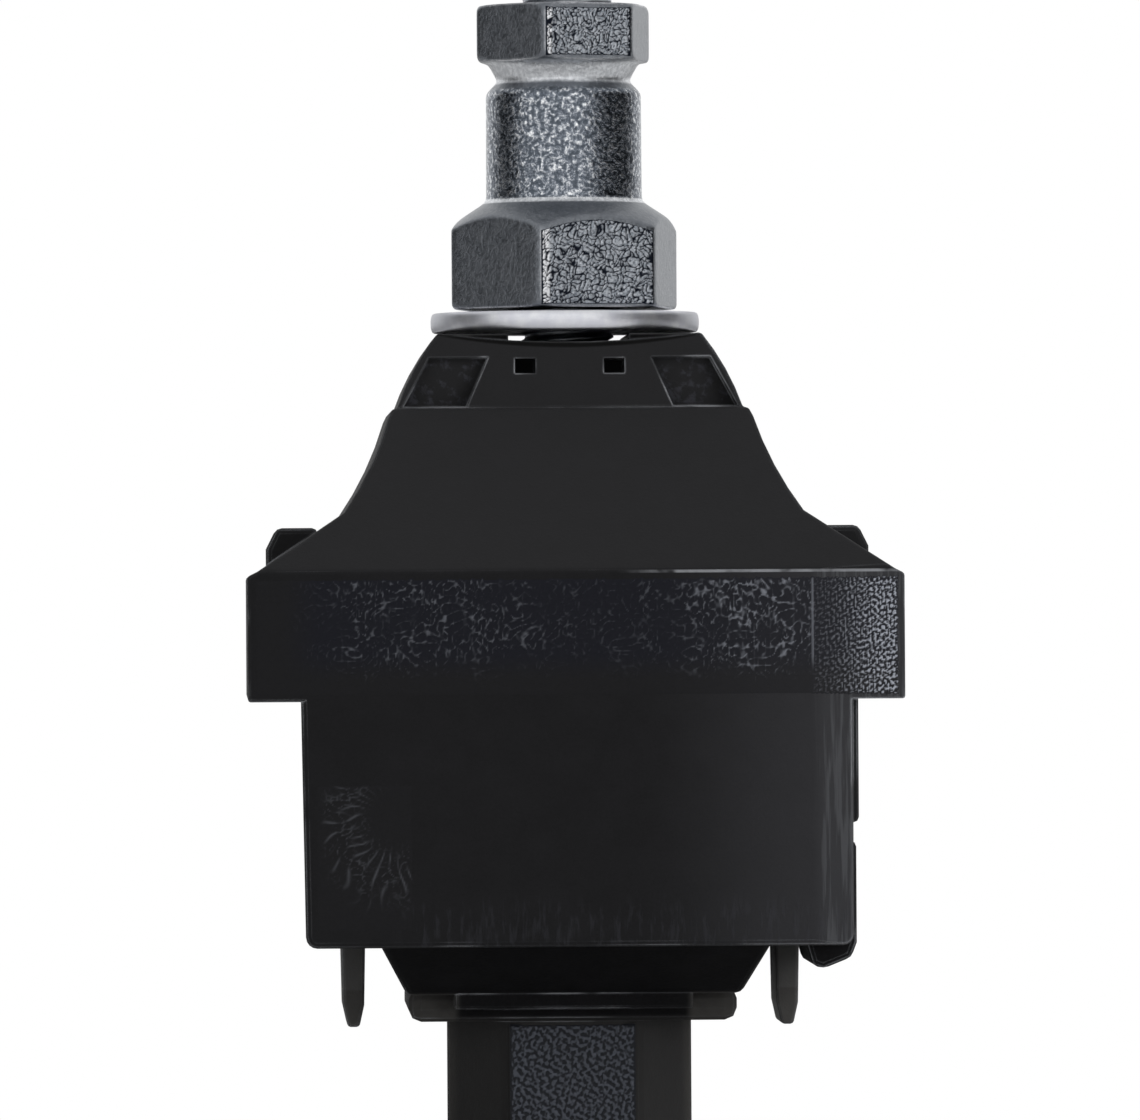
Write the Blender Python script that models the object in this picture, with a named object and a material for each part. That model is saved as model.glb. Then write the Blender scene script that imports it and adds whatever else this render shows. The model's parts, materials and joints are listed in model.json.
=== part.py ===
"""Insulation piercing connector: two moulded jaws that one bolt and a shear-head nut draw together.

+X runs along the cables, -Y is the tap side behind the long skirt, +Y is the open main side and +Z
runs up the bolt. The origin lies on the bolt's axis, in the end face of the hexagonal post.
Every size is in millimetres and becomes metres where a mesh is made.
"""

import math

import bmesh
import bpy

MM = 0.001

# Clearances
SEAT_GAP = 0.3
BORE_GAP = 0.4
FINGER_GAP = 0.35
CUT_OVER = 1.0

# Clamp bolt
BOLT_D = 8.0
BOLT_LENGTH = 90.0
BOLT_CHAMFER = 0.9
BOLT_HEAD_FLATS = 13.0
BOLT_HEAD_HEIGHT = 5.3
BOLT_HEAD_CONE = 0.7
BOLT_HEAD_SEAT_CONE = 0.25
HEAD_RECESS = 3.1

# Both jaws
BODY_HALF_X = 21.3
JAW_DEPTH = 49.0
JAW_GAP = 1.5
MOULD_EDGE_R = 0.45

# Lower jaw
POST_FLATS = 18.0
POST_LENGTH = 13.9
POST_EDGE_R = 1.2
COLLAR_X = 13.3
COLLAR_Y = 10.8
COLLAR_HEIGHT = 2.3
COLLAR_EDGE_R = 1.0
APRON_X = 9.6
APRON_DROP = 1.2
HIP_LOW_X = 13.5
HIP_LOW_Y = 13.4
HIP_INSET_X = 5.3
HIP_INSET_Y = 4.5
HIP_HEIGHT = 4.3
BLOCK_HEIGHT = 8.1

# Upper jaw
BODY_HEIGHT = 9.9
SHOULDER_HALF_X = 26.2
SHOULDER_HEIGHT = 10.4
EAVE_CHAMFER = 0.8
HIP_ROOF_X = 18.4
HIP_ROOF_HEIGHT = 4.7
FRUSTUM_TOP_X = 14.4
FRUSTUM_TOP_Y = 12.6
FRUSTUM_HEIGHT = 8.4
FRUSTUM_HOLLOW = 0.35
FRUSTUM_EDGE = 0.7
CROWN_LEDGE = 0.4
CROWN_TOP_X = 10.7
CROWN_TOP_Y = 11.0
CROWN_HEIGHT = 6.1
CROWN_BULGE = 0.3
SADDLE_DIP = 0.7
SADDLE_HALF_X = 10.4
DECK_WALL = 1.6
DECK_GROOVE_X = 4.9
SKIRT_THICKNESS = 2.0
SKIRT_OVERHANG = 0.7
SKIRT_DROP = 9.75
SKIRT_DRAFT = 0.3
SKIRT_CORNER_R = 0.9
TURNED_FACE_X = 18.8
TURNED_FACE_BACK = 0.45

# Crown pockets and windows
POCKET_RIM = 0.45
POCKET_INNER_HIGH = 6.6
POCKET_INNER_LOW = 8.35
POCKET_SILL = 0.15
POCKET_HEIGHT = 4.0
POCKET_FLOOR_Y = 10.4
WINDOW_X = 3.6
WINDOW_WIDTH = 1.65
WINDOW_SILL = 2.85
WINDOW_HEIGHT = 1.2
WINDOW_DEPTH = 2.6

# Lugs on the shoulders
LUG_INSET = 1.6
LUG_WIDTH = 4.2
LUG_HALF_Y = 4.0
LUG_HEIGHT = 3.6
LUG_CHAMFER = 1.7

# Guide fingers
FINGER_INSET = 3.6
FINGER_THICKNESS = 2.4
FINGER_LOW_THICKNESS = 1.75
FINGER_TIP_THICKNESS = 0.95
FINGER_TIP_HEIGHT = 1.8
FINGER_HALF_Y = 4.5
FINGER_DROP = 16.8

# Cable channels
CHANNEL_INSET = 10.0
CHANNEL_R = 7.8
CHANNEL_RISE = 5.0
CHANNEL_FLARE = 1.0
END_WALL_THICKNESS = 2.6
END_WALL_INNER_Y = 7.2
UPPER_END_OVERHANG = 1.2
LOWER_END_OVERHANG = 1.05
FOOT_DROP = 2.1
FOOT_WIDTH = 4.1

# Toothed contact blades
BLADE_X = 10.0
BLADE_THICKNESS = 2.0
BLADE_END = 5.1
BRIDGE_LOW = 6.2
BRIDGE_HEIGHT = 1.7
TEETH = 5
TOOTH_PITCH = 1.76
TOOTH_HEIGHT = 1.6
TOOTH_TIP = 2.65
TOOTH_ROW_R = 12.0

# Seal boots round the teeth
BOOT_HALF_X = 4.2
BOOT_HALF_Y = 6.5
BOOT_GROOVE_R = 5.6
BOOT_EDGE_R = 0.5

# Pressure washer
WASHER_D = 21.8
WASHER_THICKNESS = 1.6
WASHER_EDGE_R = 0.45

# Shear-head nut
NUT_TURN = math.radians(16.7)
NUT_FLATS = 17.0
NUT_HEIGHT = 8.7
NUT_CONE = 2.3
NUT_CONE_SLOPE = 1.45
NUT_SEAT_CONE = 0.35
SLEEVE_R = 6.35
SLEEVE_HEIGHT = 9.9
SLEEVE_SHOULDER = 0.9
NECK_R = 5.8
NECK_HEIGHT = 1.9
NECK_FLARE = 0.6
SHEAR_FLATS = 13.0
SHEAR_HEIGHT = 4.4
SHEAR_CONE = 0.3
HEX_CONE_SLOPE = 1.7

# Facets round a full turn
ROUND = 32
CHANNEL_ROUND = 40

# Levels up the bolt
HEAD_TOP = HEAD_RECESS + BOLT_HEAD_HEIGHT
BOLT_END = HEAD_TOP + BOLT_LENGTH
HIP_LOW = POST_LENGTH + COLLAR_HEIGHT
BLOCK_LOW = HIP_LOW + HIP_HEIGHT
LOWER_FACE = BLOCK_LOW + BLOCK_HEIGHT
UPPER_FACE = LOWER_FACE + JAW_GAP
JAW_MIDDLE = (LOWER_FACE + UPPER_FACE) / 2
SKIRT_LOW = UPPER_FACE - SKIRT_DROP
SHOULDER_LOW = UPPER_FACE + BODY_HEIGHT
EAVE = SHOULDER_LOW + SHOULDER_HEIGHT
HIP_ROOF_TOP = EAVE + HIP_ROOF_HEIGHT
CROWN_LOW = HIP_ROOF_TOP + FRUSTUM_HEIGHT
CROWN_TOP = CROWN_LOW + CROWN_HEIGHT
WASHER_LOW = CROWN_TOP + SEAT_GAP
NUT_LOW = WASHER_LOW + WASHER_THICKNESS + SEAT_GAP
SLEEVE_LOW = NUT_LOW + NUT_HEIGHT
NECK_LOW = SLEEVE_LOW + SLEEVE_HEIGHT
SHEAR_LOW = NECK_LOW + NECK_HEIGHT
SHEAR_TOP = SHEAR_LOW + SHEAR_HEIGHT

# Places along the cables
HIP_HIGH_X = BODY_HALF_X - HIP_INSET_X
FINGER_X = BODY_HALF_X - FINGER_INSET
SKIRT_HALF_X = BODY_HALF_X + SKIRT_OVERHANG
UPPER_END_X = BODY_HALF_X + UPPER_END_OVERHANG
LOWER_END_X = BODY_HALF_X + LOWER_END_OVERHANG
END_WALL_X = LOWER_END_X - END_WALL_THICKNESS
LUG_OUTER_X = SHOULDER_HALF_X - LUG_INSET
LUG_INNER_X = LUG_OUTER_X - LUG_WIDTH

# Places across the jaws
FRONT_Y = -JAW_DEPTH / 2
REAR_Y = JAW_DEPTH / 2
SKIRT_INNER_Y = FRONT_Y + SKIRT_THICKNESS
BLOCK_FRONT_Y = SKIRT_INNER_Y + SEAT_GAP
HIP_HIGH_Y = REAR_Y - HIP_INSET_Y
CHANNEL_Y = REAR_Y - CHANNEL_INSET
BLADE_HALF_LENGTH = CHANNEL_Y + BLADE_END
DECK_HALF_Y = CROWN_TOP_Y - DECK_WALL
BORE_R = BOLT_D / 2 + BORE_GAP
BOOT_TOP = BRIDGE_LOW - SEAT_GAP
BOOT_LIP = SEAT_GAP / 2
TONGUE_HALF_Y = TEETH * TOOTH_PITCH / 2


def material(name, colour, metallic, roughness):
    made = bpy.data.materials.new(name)
    made.use_nodes = True
    shader = made.node_tree.nodes["Principled BSDF"]
    shader.inputs["Base Color"].default_value = (*colour, 1.0)
    shader.inputs["Metallic"].default_value = metallic
    shader.inputs["Roughness"].default_value = roughness
    return made


def finished(name, mesh, finish=None, parent=None):
    """A named object of a bmesh in millimetres; without a finish it only shapes others."""
    mesh.normal_update()
    bmesh.ops.recalc_face_normals(mesh, faces=mesh.faces)
    if mesh.calc_volume(signed=True) < 0:
        bmesh.ops.reverse_faces(mesh, faces=mesh.faces)
    bmesh.ops.scale(mesh, vec=(MM, MM, MM), verts=mesh.verts)
    data = bpy.data.meshes.new(name)
    mesh.to_mesh(data)
    mesh.free()
    made = bpy.data.objects.new(name, data)
    bpy.context.scene.collection.objects.link(made)
    if finish is None:
        made.hide_render = True
        made.display_type = "WIRE"
    else:
        data.materials.append(finish)
    made.parent = parent
    return made


def extruded(outline, low, high, axis):
    """The outline pushed from low to high: (x, z) along Y, (y, z) along X or (x, y) along Z."""
    places = {
        "X": lambda a, b: (low, a, b),
        "Y": lambda a, b: (a, low, b),
        "Z": lambda a, b: (a, b, low),
    }
    steps = {
        "X": (high - low, 0, 0),
        "Y": (0, high - low, 0),
        "Z": (0, 0, high - low),
    }
    mesh = bmesh.new()
    face = mesh.faces.new([mesh.verts.new(places[axis](a, b)) for a, b in outline])
    grown = bmesh.ops.extrude_face_region(mesh, geom=[face])["geom"]
    moved = [item for item in grown if isinstance(item, bmesh.types.BMVert)]
    bmesh.ops.translate(mesh, vec=steps[axis], verts=moved)
    return mesh


def block(low, high):
    """A box between two corners."""
    outline = [(low[0], low[1]), (high[0], low[1]), (high[0], high[1]), (low[0], high[1])]
    return extruded(outline, low[2], high[2], "Z")


def tapered(low_half, high_half, low, high):
    """A block about the bolt whose half-sizes change from one level to the other."""
    mesh = bmesh.new()
    rings = []
    for (half_x, half_y), level in ((low_half, low), (high_half, high)):
        corners = ((-half_x, -half_y), (half_x, -half_y), (half_x, half_y), (-half_x, half_y))
        rings.append([mesh.verts.new((x, y, level)) for x, y in corners])
    mesh.faces.new(rings[0])
    mesh.faces.new(rings[1])
    for near in range(4):
        far = (near + 1) % 4
        mesh.faces.new((rings[0][near], rings[0][far], rings[1][far], rings[1][near]))
    return mesh


def turned(profile, segments=ROUND):
    """A closed (radius, z) profile turned about the bolt's axis."""
    mesh = bmesh.new()
    rings = []
    for radius, level in profile:
        if radius == 0:
            rings.append([mesh.verts.new((0, 0, level))] * segments)
            continue
        turns = (math.tau * i / segments for i in range(segments))
        rings.append(
            [mesh.verts.new((radius * math.cos(t), radius * math.sin(t), level)) for t in turns]
        )
    for near, far in zip(rings, rings[1:] + rings[:1]):
        for i in range(segments):
            following = (i + 1) % segments
            corners = (near[i], near[following], far[following], far[i])
            distinct = list(dict.fromkeys(corners))
            if len(distinct) > 2:
                mesh.faces.new(distinct)
    return mesh


def rod(radius, low, high, axis, centre=(0.0, 0.0), segments=CHANNEL_ROUND):
    """A round bar along one axis; the centre is given as extruded takes its outlines."""
    step = math.tau / segments
    outline = [
        (
            centre[0] + radius * math.cos(step * (i + 0.5)),
            centre[1] + radius * math.sin(step * (i + 0.5)),
        )
        for i in range(segments)
    ]
    return extruded(outline, low, high, axis)


def hexagon(flats, turn=0.0):
    """Corners of a hexagon with one flat facing -Y, turned about the axis."""
    radius = flats / math.sqrt(3)
    return [
        (
            radius * math.sin(turn + math.radians(60 * i + 30)),
            -radius * math.cos(turn + math.radians(60 * i + 30)),
        )
        for i in range(6)
    ]


def bowed(start, end, bulge, steps=4):
    """Points after start up to end on a shallow curve that bulges to the right of the way."""
    length = math.dist(start, end)
    across = ((end[1] - start[1]) / length, (start[0] - end[0]) / length)
    points = []
    for i in range(1, steps + 1):
        t = i / steps
        out = bulge * 4 * t * (1 - t)
        points.append(
            (
                start[0] + (end[0] - start[0]) * t + across[0] * out,
                start[1] + (end[1] - start[1]) * t + across[1] * out,
            )
        )
    return points


def rounded_corner(corner, radius, start_angle, steps=4):
    """A quarter turn anticlockwise whose tangents meet in the corner."""
    turn = math.radians(start_angle)
    centre = (
        corner[0] - radius * (math.cos(turn) - math.sin(turn)),
        corner[1] - radius * (math.sin(turn) + math.cos(turn)),
    )
    return [
        (
            centre[0] + radius * math.cos(turn + i / steps * math.pi / 2),
            centre[1] + radius * math.sin(turn + i / steps * math.pi / 2),
        )
        for i in range(steps + 1)
    ]


def both_sides(right):
    """A closed outline from its right half, listed from the bottom up."""
    return right + [(-x, z) for x, z in reversed(right)]


def combine(target, other, operation):
    change = target.modifiers.new(other.name, "BOOLEAN")
    change.operation = operation
    change.solver = "MANIFOLD"
    change.object = other


def add(target, name, mesh):
    other = finished(name, mesh)
    combine(target, other, "UNION")
    return other


def cut(target, name, mesh):
    other = finished(name, mesh)
    combine(target, other, "DIFFERENCE")
    return other


def keep_inside(target, name, mesh):
    other = finished(name, mesh)
    combine(target, other, "INTERSECT")
    return other


def ease_edges(target, radius, segments=2, angle=30):
    bevel = target.modifiers.new("eased edges", "BEVEL")
    bevel.width = radius * MM
    bevel.segments = segments
    bevel.limit_method = "ANGLE"
    bevel.angle_limit = math.radians(angle)
    return bevel


def smooth(made, angle=30):
    made.data.shade_smooth()
    made.data.set_sharp_from_angle(angle=math.radians(angle))


def channel(level_from_middle, name, target, side):
    """A cable's half channel with flared mouths; on the tap side the end wall closes it."""
    centre = (side * CHANNEL_Y, JAW_MIDDLE + level_from_middle)
    past = SHOULDER_HALF_X + CUT_OVER
    far = past if side > 0 else END_WALL_X
    cut(target, name, rod(CHANNEL_R, -past, far, "X", centre))
    mouths = (-1, 1) if side > 0 else (-1,)
    for end in mouths:
        outline = [
            (BODY_HALF_X - CHANNEL_FLARE, CHANNEL_R - SEAT_GAP),
            (BODY_HALF_X + CUT_OVER, CHANNEL_R + CHANNEL_FLARE + CUT_OVER - SEAT_GAP),
        ]
        mesh = bmesh.new()
        rings = []
        for along, radius in outline:
            step = math.tau / CHANNEL_ROUND
            rings.append(
                [
                    mesh.verts.new(
                        (
                            end * along,
                            centre[0] + radius * math.cos(step * (i + 0.5)),
                            centre[1] + radius * math.sin(step * (i + 0.5)),
                        )
                    )
                    for i in range(CHANNEL_ROUND)
                ]
            )
        mesh.faces.new(rings[0])
        mesh.faces.new(rings[1])
        for i in range(CHANNEL_ROUND):
            near = (i + 1) % CHANNEL_ROUND
            mesh.faces.new((rings[0][i], rings[0][near], rings[1][near], rings[1][i]))
        cut(target, f"{name} flare {end}", mesh)


def contact_seats(target, name, up):
    """Recesses for the boots and slots for the blades; up is 1 in the upper jaw, -1 in the lower."""

    def span(low, high):
        ends = sorted((JAW_MIDDLE + up * low, JAW_MIDDLE + up * high))
        return ends[0], ends[1]

    for end in (-1, 1):
        middle = end * BLADE_X
        reach = BLADE_THICKNESS / 2 + SEAT_GAP
        low, high = span(-CUT_OVER, BRIDGE_LOW + BRIDGE_HEIGHT + SEAT_GAP)
        half_y = BLADE_HALF_LENGTH + SEAT_GAP
        cut(
            target,
            f"{name} blade slot {end}",
            block((middle - reach, -half_y, low), (middle + reach, half_y, high)),
        )
        for side in (-1, 1):
            reach_x = BOOT_HALF_X + SEAT_GAP
            reach_y = BOOT_HALF_Y + SEAT_GAP
            low, high = span(-CUT_OVER, BOOT_TOP + SEAT_GAP)
            centre_y = side * CHANNEL_Y
            cut(
                target,
                f"{name} boot seat {end} {side}",
                block(
                    (middle - reach_x, centre_y - reach_y, low),
                    (middle + reach_x, centre_y + reach_y, high),
                ),
            )


def lower_jaw(finish, parent):
    """Block with both lower half channels, hipped underside and the post that holds the bolt's head."""
    jaw = finished(
        "lower_jaw",
        block((-BODY_HALF_X, BLOCK_FRONT_Y, BLOCK_LOW), (BODY_HALF_X, REAR_Y, LOWER_FACE)),
        finish,
        parent,
    )
    ease_edges(jaw, MOULD_EDGE_R)
    foot_x = LOWER_END_X - FOOT_WIDTH
    foot = add(
        jaw,
        "lower end wall",
        extruded(
            [
                (foot_x, LOWER_FACE),
                (foot_x, BLOCK_LOW),
                (foot_x + 0.12 * FOOT_WIDTH, BLOCK_LOW - 0.85 * FOOT_DROP),
                (foot_x + 0.34 * FOOT_WIDTH, BLOCK_LOW - FOOT_DROP),
                (LOWER_END_X - 0.11 * FOOT_WIDTH, BLOCK_LOW - 0.57 * FOOT_DROP),
                (LOWER_END_X, BLOCK_LOW),
                (LOWER_END_X, LOWER_FACE),
            ],
            BLOCK_FRONT_Y,
            -END_WALL_INNER_Y,
            "Y",
        ),
    )
    ease_edges(foot, MOULD_EDGE_R)
    hip = add(
        jaw,
        "hip",
        tapered(
            (HIP_LOW_X, HIP_LOW_Y), (HIP_HIGH_X, HIP_HIGH_Y), HIP_LOW, BLOCK_LOW + MOULD_EDGE_R
        ),
    )
    ease_edges(hip, MOULD_EDGE_R)
    collar = add(
        jaw,
        "collar",
        block(
            (-COLLAR_X, -COLLAR_Y, POST_LENGTH), (COLLAR_X, COLLAR_Y, HIP_LOW + MOULD_EDGE_R)
        ),
    )
    ease_edges(collar, COLLAR_EDGE_R)
    for face in (-1, 1):
        near, far = sorted((face * (COLLAR_Y - COLLAR_EDGE_R), face * HIP_LOW_Y))
        low = HIP_LOW - APRON_DROP
        apron = block((-APRON_X, near, low), (APRON_X, far, HIP_LOW + MOULD_EDGE_R))
        ease_edges(add(jaw, f"apron {face}", apron), MOULD_EDGE_R / 2)
    post = add(jaw, "post", extruded(hexagon(POST_FLATS), 0, HIP_LOW, "Z"))
    ease_edges(post, POST_EDGE_R, segments=3, angle=40)
    for edge in post.data.edges:
        ends = [post.data.vertices[i].co for i in edge.vertices]
        edge_up = abs(ends[0].z - ends[1].z) > POST_LENGTH * MM / 2
        weight = post.data.attributes.get("bevel_weight_edge") or post.data.attributes.new(
            "bevel_weight_edge", "FLOAT", "EDGE"
        )
        weight.data[edge.index].value = 1.0 if edge_up else 0.2
    post.modifiers["eased edges"].limit_method = "WEIGHT"
    for side, word in ((-1, "tap"), (1, "main")):
        channel(CHANNEL_R - CHANNEL_RISE, f"lower {word} channel", jaw, side)
    contact_seats(jaw, "lower", -1)
    cut(jaw, "lower bore", rod(BORE_R, -CUT_OVER, LOWER_FACE + CUT_OVER, "Z", segments=ROUND))
    cut(
        jaw,
        "head pocket",
        extruded(
            hexagon(BOLT_HEAD_FLATS + 2 * SEAT_GAP), -CUT_OVER, HEAD_TOP + SEAT_GAP, "Z"
        ),
    )
    for end in (-1, 1):
        reach_x = FINGER_THICKNESS / 2 + FINGER_GAP
        reach_y = FINGER_HALF_Y + FINGER_GAP
        cut(
            jaw,
            f"finger slot {end}",
            block(
                (end * FINGER_X - reach_x, -reach_y, BLOCK_LOW - HIP_HEIGHT),
                (end * FINGER_X + reach_x, reach_y, LOWER_FACE + CUT_OVER),
            ),
        )
    smooth(jaw)
    return jaw


def front_profile():
    """Body, shoulders, hipped roof, frustum and crown as seen from the tap side."""
    frustum_edge = (FRUSTUM_TOP_X + FRUSTUM_EDGE / 2, CROWN_LOW - FRUSTUM_EDGE)
    crown_foot = (FRUSTUM_TOP_X - CROWN_LEDGE, CROWN_LOW)
    right = [
        (BODY_HALF_X, UPPER_FACE),
        (BODY_HALF_X, SHOULDER_LOW),
        (SHOULDER_HALF_X, SHOULDER_LOW),
        (SHOULDER_HALF_X, EAVE - EAVE_CHAMFER / 2),
        (SHOULDER_HALF_X - EAVE_CHAMFER, EAVE),
        (HIP_ROOF_X, HIP_ROOF_TOP),
    ]
    right += bowed((HIP_ROOF_X, HIP_ROOF_TOP), frustum_edge, -FRUSTUM_HOLLOW)
    right += [(FRUSTUM_TOP_X, CROWN_LOW), crown_foot]
    right += bowed(crown_foot, (CROWN_TOP_X, CROWN_TOP), CROWN_BULGE)
    return both_sides(right)


def side_profile():
    """The same levels seen along the cables."""
    right = [
        (REAR_Y, UPPER_FACE),
        (REAR_Y, EAVE),
        (FRUSTUM_TOP_Y, CROWN_LOW),
        (FRUSTUM_TOP_Y - CROWN_LEDGE, CROWN_LOW),
        (CROWN_TOP_Y, CROWN_TOP),
    ]
    return both_sides(right)


def crown_pocket(end):
    """Outline of a pocket in the crown's corner, on the side that end gives."""
    sill = CROWN_LOW + POCKET_SILL
    head = sill + POCKET_HEIGHT
    outer_low = FRUSTUM_TOP_X - CROWN_LEDGE - POCKET_RIM
    lean = (FRUSTUM_TOP_X - CROWN_LEDGE - CROWN_TOP_X) / CROWN_HEIGHT
    outline = [
        (POCKET_INNER_LOW, sill),
        (outer_low, sill),
        (outer_low - lean * POCKET_HEIGHT, head),
        (POCKET_INNER_HIGH, head),
    ]
    return [(end * x, z) for x, z in outline]


def upper_jaw(finish, parent):
    """Roofed jaw with crown, skirt, end wall, shoulder lugs and the two guide fingers."""
    jaw = finished(
        "upper_jaw", extruded(front_profile(), FRONT_Y, REAR_Y, "Y"), finish, parent
    )
    past = SHOULDER_HALF_X + CUT_OVER
    keep_inside(jaw, "side profile", extruded(side_profile(), -past, past, "X"))
    ease_edges(jaw, MOULD_EDGE_R)

    low_half = SKIRT_HALF_X - SKIRT_DRAFT
    skirt_outline = [(SKIRT_HALF_X, SHOULDER_LOW + CUT_OVER), (-SKIRT_HALF_X, SHOULDER_LOW + CUT_OVER)]
    skirt_outline += rounded_corner((-low_half, SKIRT_LOW), SKIRT_CORNER_R, 180)
    skirt_outline += rounded_corner((SKIRT_HALF_X, SKIRT_LOW), SKIRT_CORNER_R, 270)
    skirt = add(jaw, "skirt", extruded(skirt_outline, FRONT_Y, SKIRT_INNER_Y, "Y"))
    ease_edges(skirt, MOULD_EDGE_R)

    wall = add(
        jaw,
        "upper end wall",
        block(
            (END_WALL_X, SKIRT_INNER_Y - CUT_OVER, UPPER_FACE),
            (UPPER_END_X, -END_WALL_INNER_Y, SHOULDER_LOW + CUT_OVER),
        ),
    )
    ease_edges(wall, MOULD_EDGE_R)

    lug_low = EAVE - CUT_OVER
    lug_top = EAVE + LUG_HEIGHT
    for end in (-1, 1):
        outline = [
            (LUG_INNER_X, lug_low),
            (LUG_OUTER_X, lug_low),
            (LUG_OUTER_X, lug_top - LUG_CHAMFER),
            (LUG_OUTER_X - LUG_CHAMFER / 2, lug_top),
            (LUG_INNER_X, lug_top),
        ]
        lug = add(
            jaw,
            f"lug {end}",
            extruded([(end * x, z) for x, z in outline], -LUG_HALF_Y, LUG_HALF_Y, "Y"),
        )
        ease_edges(lug, MOULD_EDGE_R)

    tip = UPPER_FACE - FINGER_DROP
    outline = both_sides(
        [
            (FINGER_TIP_THICKNESS / 2, tip),
            (FINGER_LOW_THICKNESS / 2, tip + FINGER_TIP_HEIGHT),
            (FINGER_THICKNESS / 2, UPPER_FACE + CUT_OVER),
        ]
    )
    for end in (-1, 1):
        shifted = [(end * FINGER_X + x, z) for x, z in outline]
        finger = add(
            jaw, f"finger {end}", extruded(shifted, -FINGER_HALF_Y, FINGER_HALF_Y, "Y")
        )
        ease_edges(finger, FINGER_TIP_THICKNESS / 4)

    for side, word in ((-1, "tap"), (1, "main")):
        channel(CHANNEL_RISE - CHANNEL_R, f"upper {word} channel", jaw, side)
    contact_seats(jaw, "upper", 1)
    cut(jaw, "upper bore", rod(BORE_R, 0, CROWN_TOP + CUT_OVER, "Z", segments=ROUND))

    saddle_r = (SADDLE_HALF_X**2 + SADDLE_DIP**2) / (2 * SADDLE_DIP)
    saddle_centre = (0, CROWN_TOP - SADDLE_DIP + saddle_r)
    for face in (-1, 1):
        near, far = sorted((face * DECK_HALF_Y, face * REAR_Y))
        saddle = rod(saddle_r, near, far, "Y", saddle_centre, segments=4 * CHANNEL_ROUND)
        cut(jaw, f"crown saddle {face}", saddle)
    groove = block(
        (-DECK_GROOVE_X, -DECK_HALF_Y - SEAT_GAP, CROWN_TOP - SADDLE_DIP),
        (DECK_GROOVE_X, DECK_HALF_Y + SEAT_GAP, CROWN_TOP + CUT_OVER),
    )
    cut(jaw, "deck groove", groove)
    turned_outline = [
        (TURNED_FACE_X, FRONT_Y),
        (SHOULDER_HALF_X + CUT_OVER, FRONT_Y + TURNED_FACE_BACK),
        (SHOULDER_HALF_X + CUT_OVER, FRONT_Y - CUT_OVER),
        (TURNED_FACE_X, FRONT_Y - CUT_OVER),
    ]
    cut(jaw, "turned face", extruded(turned_outline, SKIRT_LOW - CUT_OVER, EAVE + CUT_OVER, "Z"))

    for face in (-1, 1):
        for end in (-1, 1):
            near = face * POCKET_FLOOR_Y
            far = face * (FRUSTUM_TOP_Y + CUT_OVER)
            low, high = sorted((near, far))
            pocket = extruded(crown_pocket(end), low, high, "Y")
            cut(jaw, f"crown pocket {face} {end}", pocket)
            near = face * (CROWN_TOP_Y - WINDOW_DEPTH)
            low, high = sorted((near, far))
            sill = CROWN_LOW + WINDOW_SILL
            window = block(
                (end * WINDOW_X - WINDOW_WIDTH / 2, low, sill),
                (end * WINDOW_X + WINDOW_WIDTH / 2, high, sill + WINDOW_HEIGHT),
            )
            cut(jaw, f"crown window {face} {end}", window)
    smooth(jaw)
    return jaw


def blade_outline():
    """Bridge and two toothed tongues of a contact blade, as (y, height above the jaws' middle)."""
    back = BRIDGE_LOW + BRIDGE_HEIGHT
    right = []
    first = CHANNEL_Y - TONGUE_HALF_Y

    def row(across):
        return TOOTH_TIP - (TOOTH_ROW_R - math.sqrt(TOOTH_ROW_R**2 - across**2))

    right.append((first, BRIDGE_LOW))
    for tooth in range(TEETH):
        start = -TONGUE_HALF_Y + tooth * TOOTH_PITCH
        tip = start + TOOTH_PITCH / 2
        if tooth == 0:
            right.append((CHANNEL_Y + start, row(start) + TOOTH_HEIGHT))
        right.append((CHANNEL_Y + tip, row(tip)))
        end = start + TOOTH_PITCH
        right.append((CHANNEL_Y + end, row(end) + TOOTH_HEIGHT))
    right.append((CHANNEL_Y + TONGUE_HALF_Y, BRIDGE_LOW))
    right.append((BLADE_HALF_LENGTH, BRIDGE_LOW))
    right.append((BLADE_HALF_LENGTH, back))
    return [(-y, z) for y, z in reversed(right)] + right


def contact_blades(finish, lower, upper):
    half = BLADE_THICKNESS / 2
    shared = None
    for up, level, parent in ((1, "upper", upper), (-1, "lower", lower)):
        for end, word in ((-1, "left"), (1, "right")):
            name = f"{level}_contact_{word}"
            if shared is None:
                blade = finished(name, extruded(blade_outline(), -half, half, "X"), finish, parent)
                shared = blade.data
            else:
                blade = bpy.data.objects.new(name, shared)
                bpy.context.scene.collection.objects.link(blade)
                blade.parent = parent
            blade.location = (end * BLADE_X * MM, 0, JAW_MIDDLE * MM)
            blade.rotation_euler.x = 0 if up > 0 else math.pi


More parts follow.
